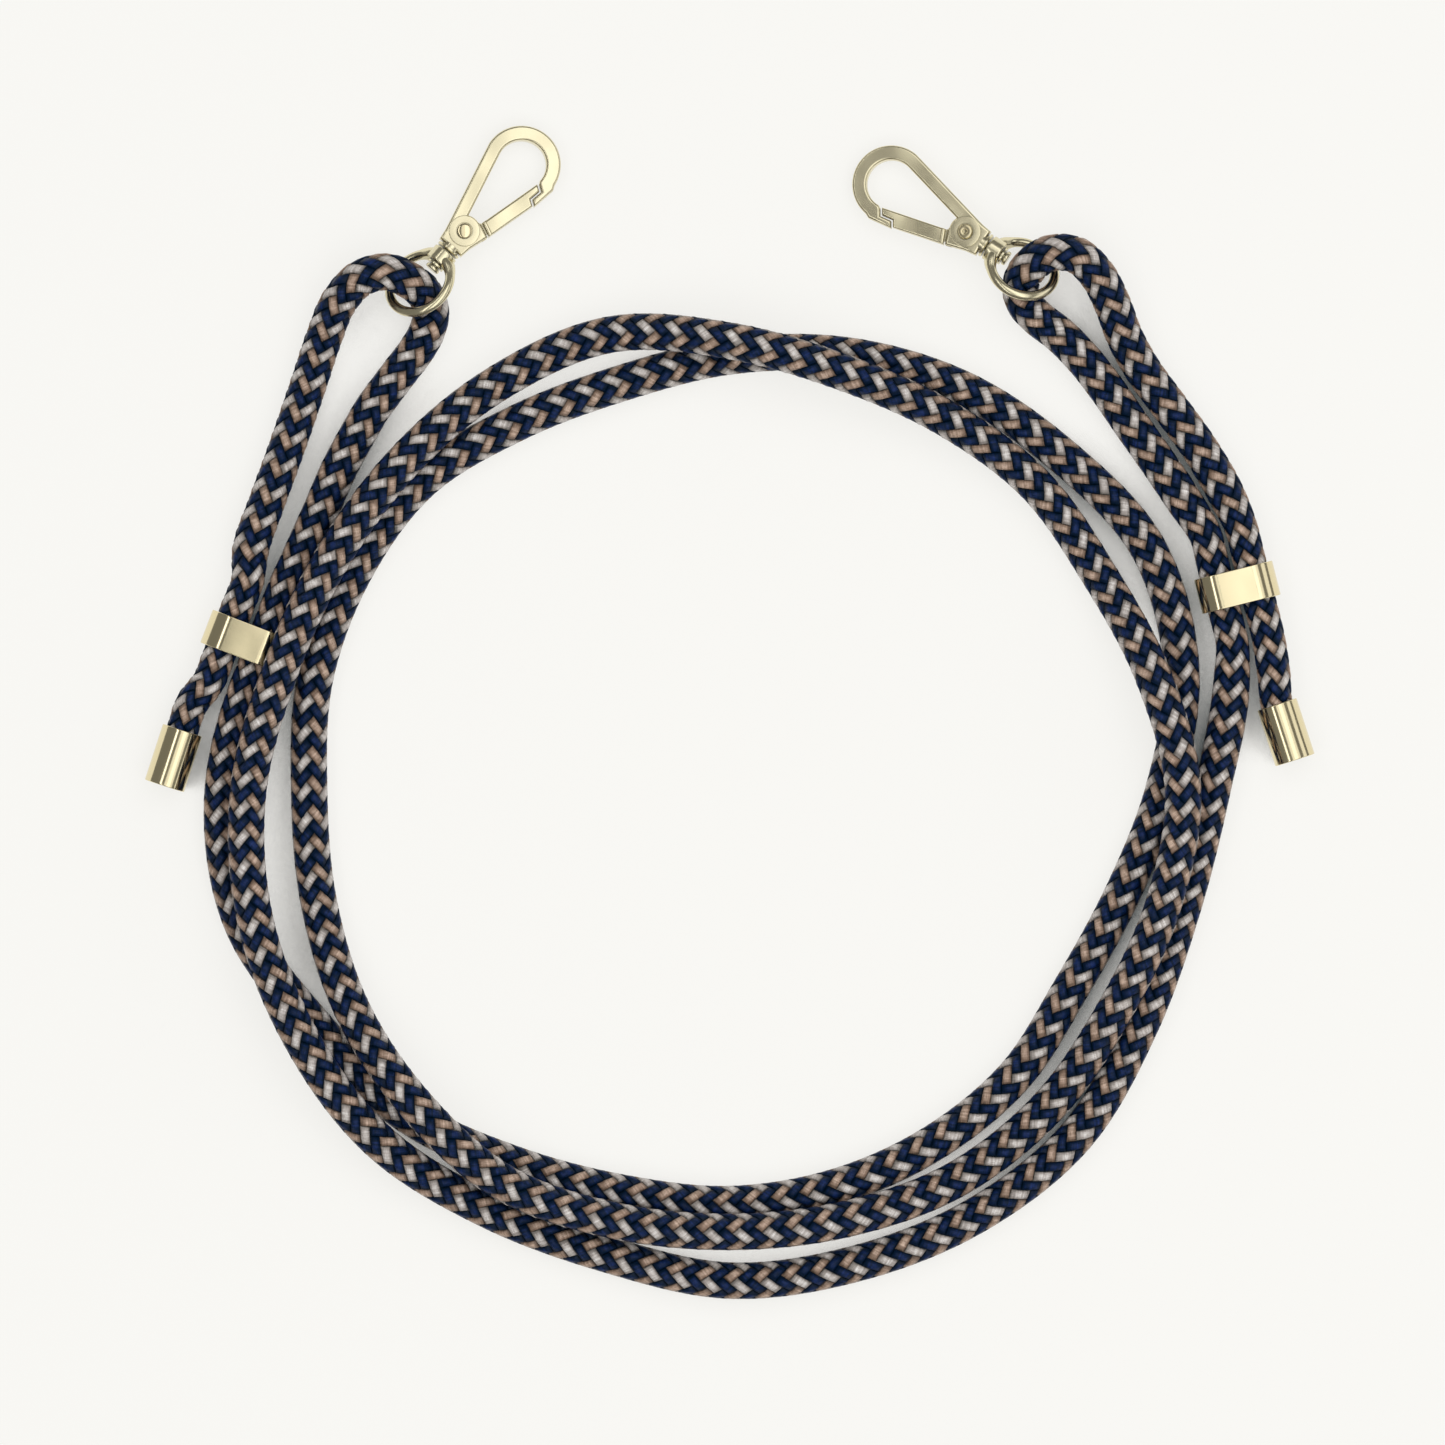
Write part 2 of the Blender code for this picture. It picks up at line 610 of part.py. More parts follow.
def slot_outline():
    """Room for the gate's tongue and the spring, open towards the gate."""
    points = arc((RIVET_U, 0), SLOT_RADIUS, 22, 286, 22)
    return points + list(SLOT_MOUTH)


def build_hook_body(side, material, swivel):
    name = side["name"]
    frame = hook_frame(side)
    body = build_mesh(f"{name}_hook_body", slab(hook_outline(), HOOK_THICKNESS, HOOK_BEVEL), material, frame)
    collar_profile = [
        (0, -COLLAR_LENGTH), (COLLAR_RADIUS - COLLAR_EDGE, -COLLAR_LENGTH),
        (COLLAR_RADIUS, COLLAR_EDGE - COLLAR_LENGTH), (COLLAR_RADIUS, -1.6 * COLLAR_EDGE),
        (NECK_RADIUS, -COLLAR_EDGE), (NECK_RADIUS, COLLAR_SINK), (0, COLLAR_SINK),
    ]
    collar = turned_along_u(lathe(collar_profile))
    combine(body, "UNION", make_tool(f"{name}_collar_shape", collar, frame))
    half = HOOK_THICKNESS / 2 + PAD_HEIGHT
    pad = moved(rod(PAD_RADIUS, -half, half, steps=32), RIVET_U)
    combine(body, "UNION", make_tool(f"{name}_pad_shape", pad, frame))
    slot = slab(slot_outline(), SLOT_HEIGHT)
    combine(body, "DIFFERENCE", make_tool(f"{name}_slot", slot, frame))
    rivet_bore = moved(rod(RIVET_BORE_RADIUS, -HOOK_THICKNESS, HOOK_THICKNESS), RIVET_U)
    combine(body, "DIFFERENCE", make_tool(f"{name}_rivet_bore", rivet_bore, frame))
    bore_end = RIVET_U - SLOT_RADIUS + 2 * GAP
    post_bore = turned_along_u(rod(POST_BORE_RADIUS, -COLLAR_LENGTH - CUT_PAST, bore_end))
    combine(body, "DIFFERENCE", make_tool(f"{name}_post_bore", post_bore, frame))
    parent_to(body, swivel)


def gate_outline():
    """The gate's plate, from its hinge end to the step at the nose."""
    du, dv = STEP_HALF_GAP
    inner, upper, lower, outer = [(u - du, v - dv) for u, v in GATE_STEP]
    start, end = GATE_HINGE_END
    return [start, outer, lower, upper, inner, end]


def ridge_outline():
    start, end = GATE_HINGE_END
    return [
        start, (start[0] + RIDGE_WIDTH, start[1] - RIDGE_STEP),
        (end[0] + RIDGE_WIDTH, end[1] - RIDGE_STEP), end,
    ]


def tongue_outline():
    """Thin lug from the gate's plate to the rivet."""
    return arc((RIVET_U, 0), TONGUE_RADIUS, 40, 250, 16) + list(TONGUE_ROOT)


def build_gate(side, material, hinge):
    name = side["name"]
    frame = hook_frame(side)
    gate = build_mesh(f"{name}_hook_gate", slab(gate_outline(), GATE_THICKNESS, GATE_BEVEL), material, frame)
    ridge = slab(ridge_outline(), RIDGE_THICKNESS, RIDGE_BEVEL)
    combine(gate, "UNION", make_tool(f"{name}_ridge_shape", ridge, frame))
    tongue = slab(tongue_outline(), TONGUE_THICKNESS)
    combine(gate, "UNION", make_tool(f"{name}_tongue_shape", tongue, frame))
    bore = moved(rod(RIVET_BORE_RADIUS, -HOOK_THICKNESS, HOOK_THICKNESS), RIVET_U)
    combine(gate, "DIFFERENCE", make_tool(f"{name}_gate_bore", bore, frame))
    parent_to(gate, hinge)


def build_spring(side, material, swivel):
    """C-shaped leaf spring that hugs the gate's tongue inside the housing."""
    start, end = SPRING_ARC
    outline = arc((RIVET_U, 0), SPRING_INNER_RADIUS, start, end, 18)
    outline += arc((RIVET_U, 0), SPRING_INNER_RADIUS + SPRING_THICKNESS, end, start, 18)
    spring = build_mesh(f"{side['name']}_gate_spring", slab(outline, TONGUE_THICKNESS), material,
                        hook_frame(side))
    parent_to(spring, swivel)


def build_rivet(side, material, swivel):
    """Gate hinge pin: a domed head on the face and a peened, hollow end on the back."""
    face = HOOK_THICKNESS / 2 + PAD_HEIGHT + GAP
    top, bottom = face + RIVET_HEAD_HEIGHT, -face - RIVET_HEAD_HEIGHT
    profile = [
        (0, bottom + RIVET_TUBE_DEPTH), (RIVET_TUBE_RADIUS, bottom + RIVET_TUBE_DEPTH),
        (RIVET_TUBE_RADIUS, bottom), (0.75 * RIVET_HEAD_RADIUS, bottom),
        (RIVET_HEAD_RADIUS, -face - RIVET_RIM_HEIGHT), (RIVET_HEAD_RADIUS, -face), (RIVET_RADIUS, -face),
        (RIVET_RADIUS, face), (RIVET_HEAD_RADIUS, face), (RIVET_HEAD_RADIUS, face + RIVET_RIM_HEIGHT),
        (0.8 * RIVET_HEAD_RADIUS, face + 0.8 * RIVET_HEAD_HEIGHT), (0.4 * RIVET_HEAD_RADIUS, top), (0, top),
    ]
    rivet = build_mesh(f"{side['name']}_gate_rivet", moved(lathe(profile, steps=20), RIVET_U), material,
                       hook_frame(side))
    parent_to(rivet, swivel)


def build_end(side, metal, spring_steel):
    """All the metal of one end, hung on empties that stand on the joints' axes."""
    name = side["name"]
    swing = make_empty(f"{name}_ring_axis", swivel_frame(side, RING_ROLL))
    swivel = make_empty(f"{name}_swivel_axis", swivel_frame(side, 0.0))
    hinge = make_empty(f"{name}_gate_axis", hook_frame(side) @ Matrix.Translation((RIVET_U * MM, 0, 0)))
    build_cap(side, metal)
    build_slider(side, metal)
    build_ring(side, metal, swing)
    build_post(side, metal, swivel)
    build_hook_body(side, metal, swivel)
    build_rivet(side, metal, swivel)
    build_spring(side, spring_steel, swivel)
    build_gate(side, metal, hinge)


for old in list(bpy.data.objects):
    bpy.data.objects.remove(old, do_unlink=True)

METAL = make_material("pale_brass", (0.72, 0.62, 0.40), 0.3, 1.0)
SPRING_STEEL = make_material("spring_steel", (0.55, 0.55, 0.56), 0.35, 1.0)
ROPE = make_material("braided_rope", (0.10, 0.12, 0.25), 0.8, 0.0)
TOOL_MATERIAL = make_material("tool", (0.8, 0.2, 0.2), 0.5, 0.0)

COIL_POINTS = build_coil(ROPE)
build_arms(COIL_POINTS, ROPE)
for end_of_lead in SIDES:
    build_end(end_of_lead, METAL, SPRING_STEEL)
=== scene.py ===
"""Looks for the rope lead: braided rope, satin metal fittings, and the plain pale table they lie on.

All numbers are millimetres unless they say otherwise, in the layout of the CAD source.
LAYOUT_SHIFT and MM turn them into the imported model's frame.
"""
import math

import bmesh
import bpy
import numpy as np
from mathutils import Matrix, Vector


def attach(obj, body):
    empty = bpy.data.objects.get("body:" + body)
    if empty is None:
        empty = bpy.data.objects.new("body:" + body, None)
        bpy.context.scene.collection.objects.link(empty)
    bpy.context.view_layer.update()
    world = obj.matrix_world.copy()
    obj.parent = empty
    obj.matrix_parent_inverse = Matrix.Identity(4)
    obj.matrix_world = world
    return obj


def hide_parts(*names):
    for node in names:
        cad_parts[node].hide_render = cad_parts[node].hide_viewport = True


MM = 0.001
LAYOUT_SHIFT = (0.0, -0.07)
GAP = 0.3
CUT_PAST = 2.0

# The view: straight down, 308.2 mm across
PHOTO_WIDTH = 308.2
PHOTO_CENTRE = (-1.54, -56.3)
CAMERA_HEIGHT = 3000.0
CAMERA_REACH = 20              # metres
SENSOR_WIDTH = 36.0

# ---------------------------------------------------------------- sizes shared with the CAD source

ROPE_DIAMETER = 8.0
ROPE_RADIUS = ROPE_DIAMETER / 2
SQUEEZED_RADIUS = 3.6

COIL_CENTRE = (0.0, -70.7)
COIL_STEPS_PER_TURN = 24
COIL_START_ANGLE = 180
COIL_RADII = (
    108.0, 107.8, 101.5, 97.6, 92.0, 88.8, 88.2, 87.5, 86.8, 86.0, 84.1, 86.5,
    92.4, 99.6, 103.0, 100.5, 98.8, 95.9, 92.4, 89.7, 90.4, 93.0, 92.5, 91.5,
    89.6, 90.7, 92.9, 94.4, 96.2, 94.7, 93.9, 94.5, 95.9, 95.6, 94.3, 95.3,
    96.3, 93.2, 91.1, 92.0, 91.5, 92.0, 95.5, 100.3, 99.7, 98.4, 97.8, 98.8,
    102.3, 104.5, 105.2, 105.6, 103.2, 102.3, 104.5, 104.4, 104.7, 104.3, 100.9, 99.7,
    102.8,
)
COIL_HEIGHTS = (
    4.0, 3.2, 3.2, 3.2, 3.2, 3.2, 3.2, 3.2, 3.2, 3.2, 3.2, 3.2,
    3.2, 3.2, 3.2, 3.2, 3.2, 3.2, 3.2, 3.2, 3.2, 3.2, 3.2, 3.2,
    3.2, 3.6, 7.0, 12.0, 11.6, 10.1, 9.6, 8.3, 4.4, 5.0, 8.8, 10.8,
    12.2, 11.6, 4.6, 5.2, 7.8, 11.8, 11.8, 5.6, 5.4, 10.0, 11.4, 12.1,
    11.4, 12.0, 11.8, 7.6, 3.8, 3.2, 3.2, 3.2, 3.2, 3.2, 3.2, 3.2,
    4.0,
)

CAP_LENGTH = 12.5
CAP_RADIUS = 4.4
CAP_WALL = 0.6
CAP_FLOOR = 0.8
CAP_ROPE_RADIUS = CAP_RADIUS - CAP_WALL - GAP

SLIDER_LENGTH = 7.5
SLIDER_WALL = 0.85
STRAND_SPACING = 7.7
SLIDER_INNER_RADIUS = SQUEEZED_RADIUS + GAP
SLIDER_OUTER_RADIUS = SLIDER_INNER_RADIUS + SLIDER_WALL
SLIDER_STATIONS = (-10.5, -6.0, 0.0, 6.0, 12.0)

RING_RADIUS = 7.05
RING_WIRE_RADIUS = 1.05
RING_HEIGHT = 6.9
SWIVEL_DROP = 7.0
RING_ROLL = 37.0
BOSS_RADIUS = 2.8
BOSS_INNER = 5.6
BOSS_OUTER = 8.7
BOSS_EDGE = 0.4

POST_RADIUS = 0.95
POST_BORE_RADIUS = POST_RADIUS + GAP
POST_HEAD_RADIUS = 1.6
POST_HEAD_LENGTH = 0.8
WASHER_THICKNESS = 0.4
WASHER_RADIUS = 2.0

HOOK_BASE = BOSS_OUTER + GAP + 1.0
HOOK_THICKNESS = 3.4
COLLAR_RADIUS = 2.7
COLLAR_LENGTH = HOOK_BASE - BOSS_OUTER - GAP
COLLAR_SINK = 0.5
COLLAR_EDGE = 0.25
NECK_RADIUS = COLLAR_RADIUS - 0.6
BASE_HALF_WIDTH = 3.0
BASE_FLARE = (2.4, 3.35)
SPINE_FLARE = (2.2, 3.3)
EYE_CENTRE_U = 23.5
EYE_OUTER_RADIUS = 8.3
EYE_INNER_RADIUS = 5.2
EYE_APEX = (7.7, 1.5)
SPINE_TOP_ANGLE = 98.0
SPINE_INNER_ANGLE = 106.0
NOSE_CORNER = (23.6, -8.7)
HOUSING_END = ((6.7, -4.65), (7.95, -1.65))
HOUSING_INNER_RADIUS = 3.55
RIVET_U = 4.5
GATE_STEP = ((22.5, -5.4), (21.6, -6.8), (19.1, -6.4), (18.2, -7.75))
STEP_HALF_GAP = (0.12, -0.18)
GATE_THICKNESS = 3.0
GATE_HINGE_END = ((7.05, -4.8), (8.35, -1.75))
RIDGE_WIDTH = 0.9
RIDGE_THICKNESS = 3.5
RIDGE_STEP = 0.2
RIDGE_BEVEL = 0.35
TONGUE_THICKNESS = 1.2
TONGUE_RADIUS = 1.95
SLOT_HEIGHT = TONGUE_THICKNESS + 2 * GAP
SLOT_RADIUS = TONGUE_RADIUS + 3 * GAP
SLOT_MOUTH = ((5.6, -8.0), (12.0, -8.0), (12.0, 1.05))
TONGUE_ROOT = ((7.6, -4.4), (9.6, -4.6), (9.6, -2.4), (8.5, -2.0))
PAD_RADIUS = 3.3
PAD_HEIGHT = 0.25
RIVET_RADIUS = 0.85
RIVET_BORE_RADIUS = RIVET_RADIUS + GAP
RIVET_HEAD_RADIUS = 1.6
RIVET_HEAD_HEIGHT = 0.45
RIVET_TUBE_RADIUS = 0.5
RIVET_TUBE_DEPTH = 0.5

LEFT = {
    "name": "left",
    "ring": (-65.95, 37.2),
    "heading": 49.5,
    "low_side": 1,
    "slider": (-103.4, -38.8),
    "slider_heading": 69.0,
    "tail_strand": -1,
    "cap_floor": (-120.4, -69.8),
    "cap_heading": 72.0,
    "tail": ((-114.7, -52.6, 4.6),),
    "bight": (
        (-102.1, -19.9, 4.5), (-98.7, -9.7, 4.2), (-95.5, -1.0, 4.1), (-91.9, 9.3, 4.1),
        (-89.3, 17.0, 4.2), (-86.3, 25.9, 5.0), (-82.9, 33.6, 6.9), (-78.2, 38.3, 8.7),
        (-72.9, 39.5, 9.4), (-68.3, 37.8, 8.2), (-64.8, 34.8, 6.3), (-63.6, 31.2, 4.8),
        (-64.5, 27.0, 4.1), (-66.8, 22.9, 4.1), (-70.0, 18.7, 4.1), (-73.1, 14.6, 4.1),
        (-75.9, 10.8, 4.1), (-78.9, 5.7, 4.1), (-83.3, -2.5, 4.1), (-87.0, -11.0, 4.2),
        (-91.0, -19.9, 4.5),
    ),
    "lead": (),
}
RIGHT = {
    "name": "right",
    "ring": (62.35, 40.2),
    "heading": 147.0,
    "low_side": -1,
    "slider": (108.1, -27.5),
    "slider_heading": 104.0,
    "tail_strand": 1,
    "cap_floor": (120.4, -64.3),
    "cap_heading": 108.0,
    "tail": ((115.9, -46.2, 4.6),),
    "bight": (
        (105.9, -8.0, 4.4), (100.3, 1.8, 4.1), (93.7, 11.0, 4.1), (87.7, 19.3, 4.2),
        (84.1, 25.9, 4.6), (81.3, 33.2, 5.8), (78.1, 39.1, 7.6), (73.4, 43.2, 9.1),
        (68.3, 43.5, 9.3), (64.2, 41.1, 8.1), (62.0, 37.3, 6.3), (62.6, 33.3, 4.7),
        (65.6, 29.9, 4.1), (69.9, 26.6, 4.1), (75.1, 21.4, 4.1), (80.5, 14.5, 4.1),
        (85.6, 7.1, 4.1), (90.7, -0.1, 4.1), (96.9, -9.3, 4.5),
    ),
    "lead": ((106.9, -47.5, 4.3),),
}
SIDES = (LEFT, RIGHT)

# ---------------------------------------------------------------- sizes of the looks

# Braid: eight yarns each way round the rope, each over two and under two
YARNS_EACH_WAY = 8
YARN_PITCH = 3.13              # along the rope, between neighbouring yarns of one direction
YARN_KNOTS = (0.0, 0.2, 0.8)   # where a yarn's width is divided; 1 is the next yarn's 0
GROOVE = 0.86                  # shares of the rope's radius
CREST = 1.015
FLOAT_ARCH = ((2.5, 0.4), (4.0, 0.3))   # powers that shape a float across and along
TABLE_CLEARANCE = 0.02
ROUTE_STEP = 0.5
CAP_RUN = (0.0, 0.5, 1.03)     # shares of the cap's depth at which the rope's route has a point

# Yarn: its colour in its seams, darkened as painted shade, on its flanks, and on its back, lightened
# as a painted highlight, then how strongly it gleams
NAVY = ((0.0002, 0.0055, 0.012), (0.0015, 0.0105, 0.036), (0.01, 0.028, 0.13), 0.15)
CREAM = ((0.1, 0.095, 0.085), (0.42, 0.375, 0.345), (0.82, 0.79, 0.76), 0.4)
ROSE = ((0.06, 0.042, 0.03), (0.29, 0.195, 0.14), (0.66, 0.49, 0.38), 0.4)
YARN_TONES = (0.12, 0.62, 1.0)          # tones that show the three colours: painted shade, the yarn's own colour, painted highlight
YARN_ROUGHNESS = 0.4
FILAMENT_SCALE = (16.0, 1.3, 1.0)
# sheen: painted highlight bands across each float, added into its colour
SHEEN_SCALE = (0.6, 4.5, 1.0)
FILAMENT_WEIGHT = 0.7
SHEEN_WEIGHT = 0.8
# bulge in the colour: painted shade at a float's rims, painted highlight on its back
BULGE_WEIGHT = 0.75
TONE_SHIFT = 0.75
BULGE_POWERS = (3.0, 2.5)               # across and along a float
PILLOW = 0.0007                         # metres that a float bulges in its shading
FILAMENT_RELIEF = 0.00012               # metres
FILAMENT_BUMP = 0.6
YARN_SHIFTS = (3.7, 2.3)                # set each float's filaments apart from the others'

# Metal: colour, roughness, strength of the polishing marks, waviness in metres
SATIN_GOLD = ((0.8, 0.73, 0.5), 0.22, 0.25, 0.0004)
BRIGHT_GOLD = ((0.82, 0.72, 0.46), 0.13, 0.1, 0.00008)
SPRING_STEEL = ((0.55, 0.55, 0.56), 0.3, 0.1, 0.00008)
MARKS_SCALE = (900.0, 900.0, 4000.0)
MARKS_RELIEF = 0.00002
CLOUD_SCALE = 260.0
CLOUD_GLOSS = 0.1              # how much the roughness varies
SWELL_SCALE = 130.0
SEAM_SHADE_REACH = 0.0007            # metres within which a nearby surface darkens the metal's colour with painted shade
SEAM_SHADE_SAMPLES = 6
SEAM_SHADE = ((0.2, 0.16), (0.55, 0.86), (0.9, 1.0))   # openness, and its share of the colour: painted shade in seams and crevices

# Shapes of the metal
SHARP_ANGLE = 32               # degrees
LATHE_STEPS = 64
CAP_STEPS = 96
ROD_STEPS = 40
MERGE_DISTANCE = 0.001
CAP_ROUNDING = 0.22
CAP_LIP = 8                    # height to which the mouth's rounding can reach down
SLIDER_ROUNDING = 0.2
SLIDER_CROWN = 0.025           # share by which a flat is lower one strand's spacing off its middle
SLIDER_STEPS = 40              # round each end
SADDLE_SPAN = 0.6              # radians from the boss over which the ring's wire is widened
SADDLE_OUT = 0.52              # shares by which it is widened outwards, inwards and across
SADDLE_IN = 0.3
SADDLE_WIDE = 0.9
RING_STEPS = 96
WIRE_STEPS = 20
POST_ROUNDING = 0.3
HOUSING_ARC = (-16, 14, 7)     # two angles in degrees and the number of points, as below
SLOT_ARC = (22, 286, 40)
TONGUE_ARC = (40, 250, 32)
NOSE_ANGLES = (-92, -82)       # degrees, at the eye and outside
EYE_POINTS = 64
NECK_SLOPE = 1.6               # how far from the base the collar slopes in, in collar edges
DOME_POINTS = 9
PAD_ROUNDING = 0.15
PAD_RECESS = 0.25              # round the rivet's head
RIVET_ROUNDING = 0.12
ROLLED_SHARE = 0.9             # of the head's radius, where the rolled end turns over
HOOK_BEVEL = 0.95
GATE_BEVEL = 0.5
BEVEL_STEPS = 4

# Table, in metres
TABLE_WIDTH = 6
TABLE_HEIGHT = -0.0001
TABLE_COLOUR = (0.88, 0.875, 0.855, 1.0)
TABLE_ROUGHNESS = 0.9
TABLE_PLAIN = 0.8              # share of the table that shows no lamp's shadow
GAP_REACH = 0.016              # within which rope closes a place on the table in
GAP_SAMPLES = 10
GAP_LOOKS = ((0.8, 0.6), (-0.8, 0.6))   # across and up: a look leaning right, one leaning left
GAP_SHADOW = (
    (0.39, (0.012, 0.026, 0.03)), (0.45, (0.09, 0.1, 0.1)), (0.505, (0.4, 0.38, 0.355)),
    (0.555, (0.68, 0.65, 0.61)), (0.6, (0.952, 0.944, 0.91)),
)
LIT_ACROSS = (0.045, 0.075)    # gaps nearer the middle than this lie along the light
LIT_GAIN = 0.17                # and count as this much more open

# Lamps, in metres: name, across, height, size, brightness, whether metal reflects it
LAMPS = (
    ("overhead", 0.35, 1.3, (1.08, 2.4), 0.82, True),
    ("overhead_core", 0.36, 1.29, (0.42, 2.4), 0.5, True),
    ("left_strip", -0.6, 1.25, (0.2, 2.4), 2.0, True),
    ("right_softbox", 1.25, 0.6, (0.5, 2.4), 0.8, True),
    ("tent", 0.0, 1.35, (3.0, 3.0), 0.68, False),
)
WORLD_COLOUR = (1.0, 0.99, 0.97, 1.0)
WORLD_STRENGTH = 0.2


# ---------------------------------------------------------------- frames and routes

def plan_direction(heading):
    angle = math.radians(heading)
    return Vector((math.cos(angle), math.sin(angle), 0.0))


def layout_point(x, y, z):
    return Vector((x - LAYOUT_SHIFT[0], y - LAYOUT_SHIFT[1], z))


def frame_from(origin, x_axis, y_axis, z_axis):
    """A matrix in metres from an origin in millimetres and three unit axes."""
    turn = Matrix((x_axis, y_axis, z_axis)).transposed().to_4x4()
    return Matrix.Translation(origin * MM) @ turn


def swivel_frame(side, roll):
    """Frame at the ring's middle: X along the post, Y to the ring's low side when rolled."""
    heading = plan_direction(side["heading"])
    drop = math.radians(SWIVEL_DROP)
    along = heading * math.cos(drop) - Vector((0, 0, math.sin(drop)))
    across = side["low_side"] * Vector((-heading.y, heading.x, 0.0))
    upward = side["low_side"] * along.cross(across)
    angle = math.radians(roll)
    across = across * math.cos(angle) - upward * math.sin(angle)
    return frame_from(layout_point(*side["ring"], RING_HEIGHT), along, across, along.cross(across))


def hook_frame(side):
    return swivel_frame(side, 0.0) @ Matrix.Translation((HOOK_BASE * MM, 0, 0))


def upright_frame(origin, heading):
    """Frame with Z along a level heading, Y up and X across."""
    along = plan_direction(heading)
    upward = Vector((0, 0, 1))
    return frame_from(origin, upward.cross(along), upward, along)


def smooth_curve(route, step):
    """Fine points of a smooth curve through rows of x, y, z, radius."""
    rows = np.array(route, float)
    runs = np.linalg.norm(np.diff(rows[:, :3], axis=0), axis=1)
    slopes = np.diff(rows, axis=0) / runs[:, None]
    tangents = np.empty_like(rows)
    tangents[0], tangents[-1] = slopes[0], slopes[-1]
    before, after = runs[:-1, None], runs[1:, None]
    tangents[1:-1] = (slopes[:-1] * after + slopes[1:] * before) / (before + after)
    pieces = []
    for i, run in enumerate(runs):
        t = np.linspace(0, 1, max(2, round(run / step)), endpoint=False)[:, None]
        pieces.append(
            (2 * t**3 - 3 * t**2 + 1) * rows[i]
            + (t**3 - 2 * t**2 + t) * run * tangents[i]
            + (3 * t**2 - 2 * t**3) * rows[i + 1]
            + (t**3 - t**2) * run * tangents[i + 1]
        )
    return np.concatenate(pieces + [rows[-1:]])


def slider_run(side, strand):
    along = plan_direction(side["slider_heading"])
    across = Vector((along.y, -along.x, 0.0))
    middle = layout_point(*side["slider"], SLIDER_OUTER_RADIUS) + across * strand * STRAND_SPACING / 2
    return [middle + along * station for station in SLIDER_STATIONS]


def arm_route(side):
    """Rows of x, y, z, radius from the rope's end in the cap to where the coil takes over."""
    towards_mouth = plan_direction(side["cap_heading"])
    closed_end = layout_point(*side["cap_floor"], CAP_RADIUS)
    in_cap = CAP_LENGTH - CAP_FLOOR - GAP
    rope_end = closed_end + towards_mouth * (CAP_FLOOR + GAP)
    cap_run = [rope_end + towards_mouth * in_cap * share for share in CAP_RUN]
    free = {key: [layout_point(*row) for row in side[key]] for key in ("tail", "bight", "lead")}
    tail_run = slider_run(side, side["tail_strand"])
    main_run = slider_run(side, -side["tail_strand"])[::-1]
    sections = (
        (cap_run, CAP_ROPE_RADIUS),
        (free["tail"], SQUEEZED_RADIUS),
        (tail_run, SQUEEZED_RADIUS),
        (free["bight"], ROPE_RADIUS),
        (main_run, SQUEEZED_RADIUS),
        (free["lead"], ROPE_RADIUS),
    )
    return [(*point, radius) for points, radius in sections for point in points]


def rope_route():
    """The whole rope from the left cap, through the coil, to the right cap."""
    coil = []
    for i, (radius, height) in enumerate(zip(COIL_RADII, COIL_HEIGHTS)):
        angle = math.radians(COIL_START_ANGLE + 360 * i / COIL_STEPS_PER_TURN)
        x = COIL_CENTRE[0] + radius * math.cos(angle)
        y = COIL_CENTRE[1] + radius * math.sin(angle)
        coil.append((*layout_point(x, y, height), ROPE_RADIUS))
    return arm_route(LEFT) + coil + arm_route(RIGHT)[::-1]


# ---------------------------------------------------------------- materials

class Nodes:
    """Short calls for a material's nodes."""

    def __init__(self, name):
        self.material = bpy.data.materials.new(name)
        self.material.use_nodes = True
        self.tree = self.material.node_tree
        self.shader = self.tree.nodes["Principled BSDF"]

    def add(self, kind, **values):
        """A node whose inputs take a number, a colour or another node's output."""
        node = self.tree.nodes.new(kind)
        for name, value in values.items():
            if hasattr(node, name):
                setattr(node, name, value)
            else:
                self.feed(node, name.replace("_", " "), value)
        return node

    def feed(self, node, name, value):
        socket = next(s for s in node.inputs if s.name.lower() == name.lower() and s.enabled)
        if isinstance(value, bpy.types.NodeSocket):
            self.tree.links.new(value, socket)
        else:
            socket.default_value = value

    def maths(self, operation, first, second=0.0, clamp=False):
        node = self.tree.nodes.new("ShaderNodeMath")
        node.operation = operation
        node.use_clamp = clamp
        for socket, value in zip(node.inputs, (first, second)):
            if isinstance(value, bpy.types.NodeSocket):
                self.tree.links.new(value, socket)
            else:
                socket.default_value = value
        return node.outputs[0]

    def ramp(self, factor, stops):
        node = self.tree.nodes.new("ShaderNodeValToRGB")
        self.tree.links.new(factor, node.inputs[0])
        elements = node.color_ramp.elements
        while len(elements) < len(stops):
            elements.new(0.5)
        for element, (place, colour) in zip(elements, stops):
            element.position = place
            element.color = (*colour, 1.0)
        return node.outputs[0]


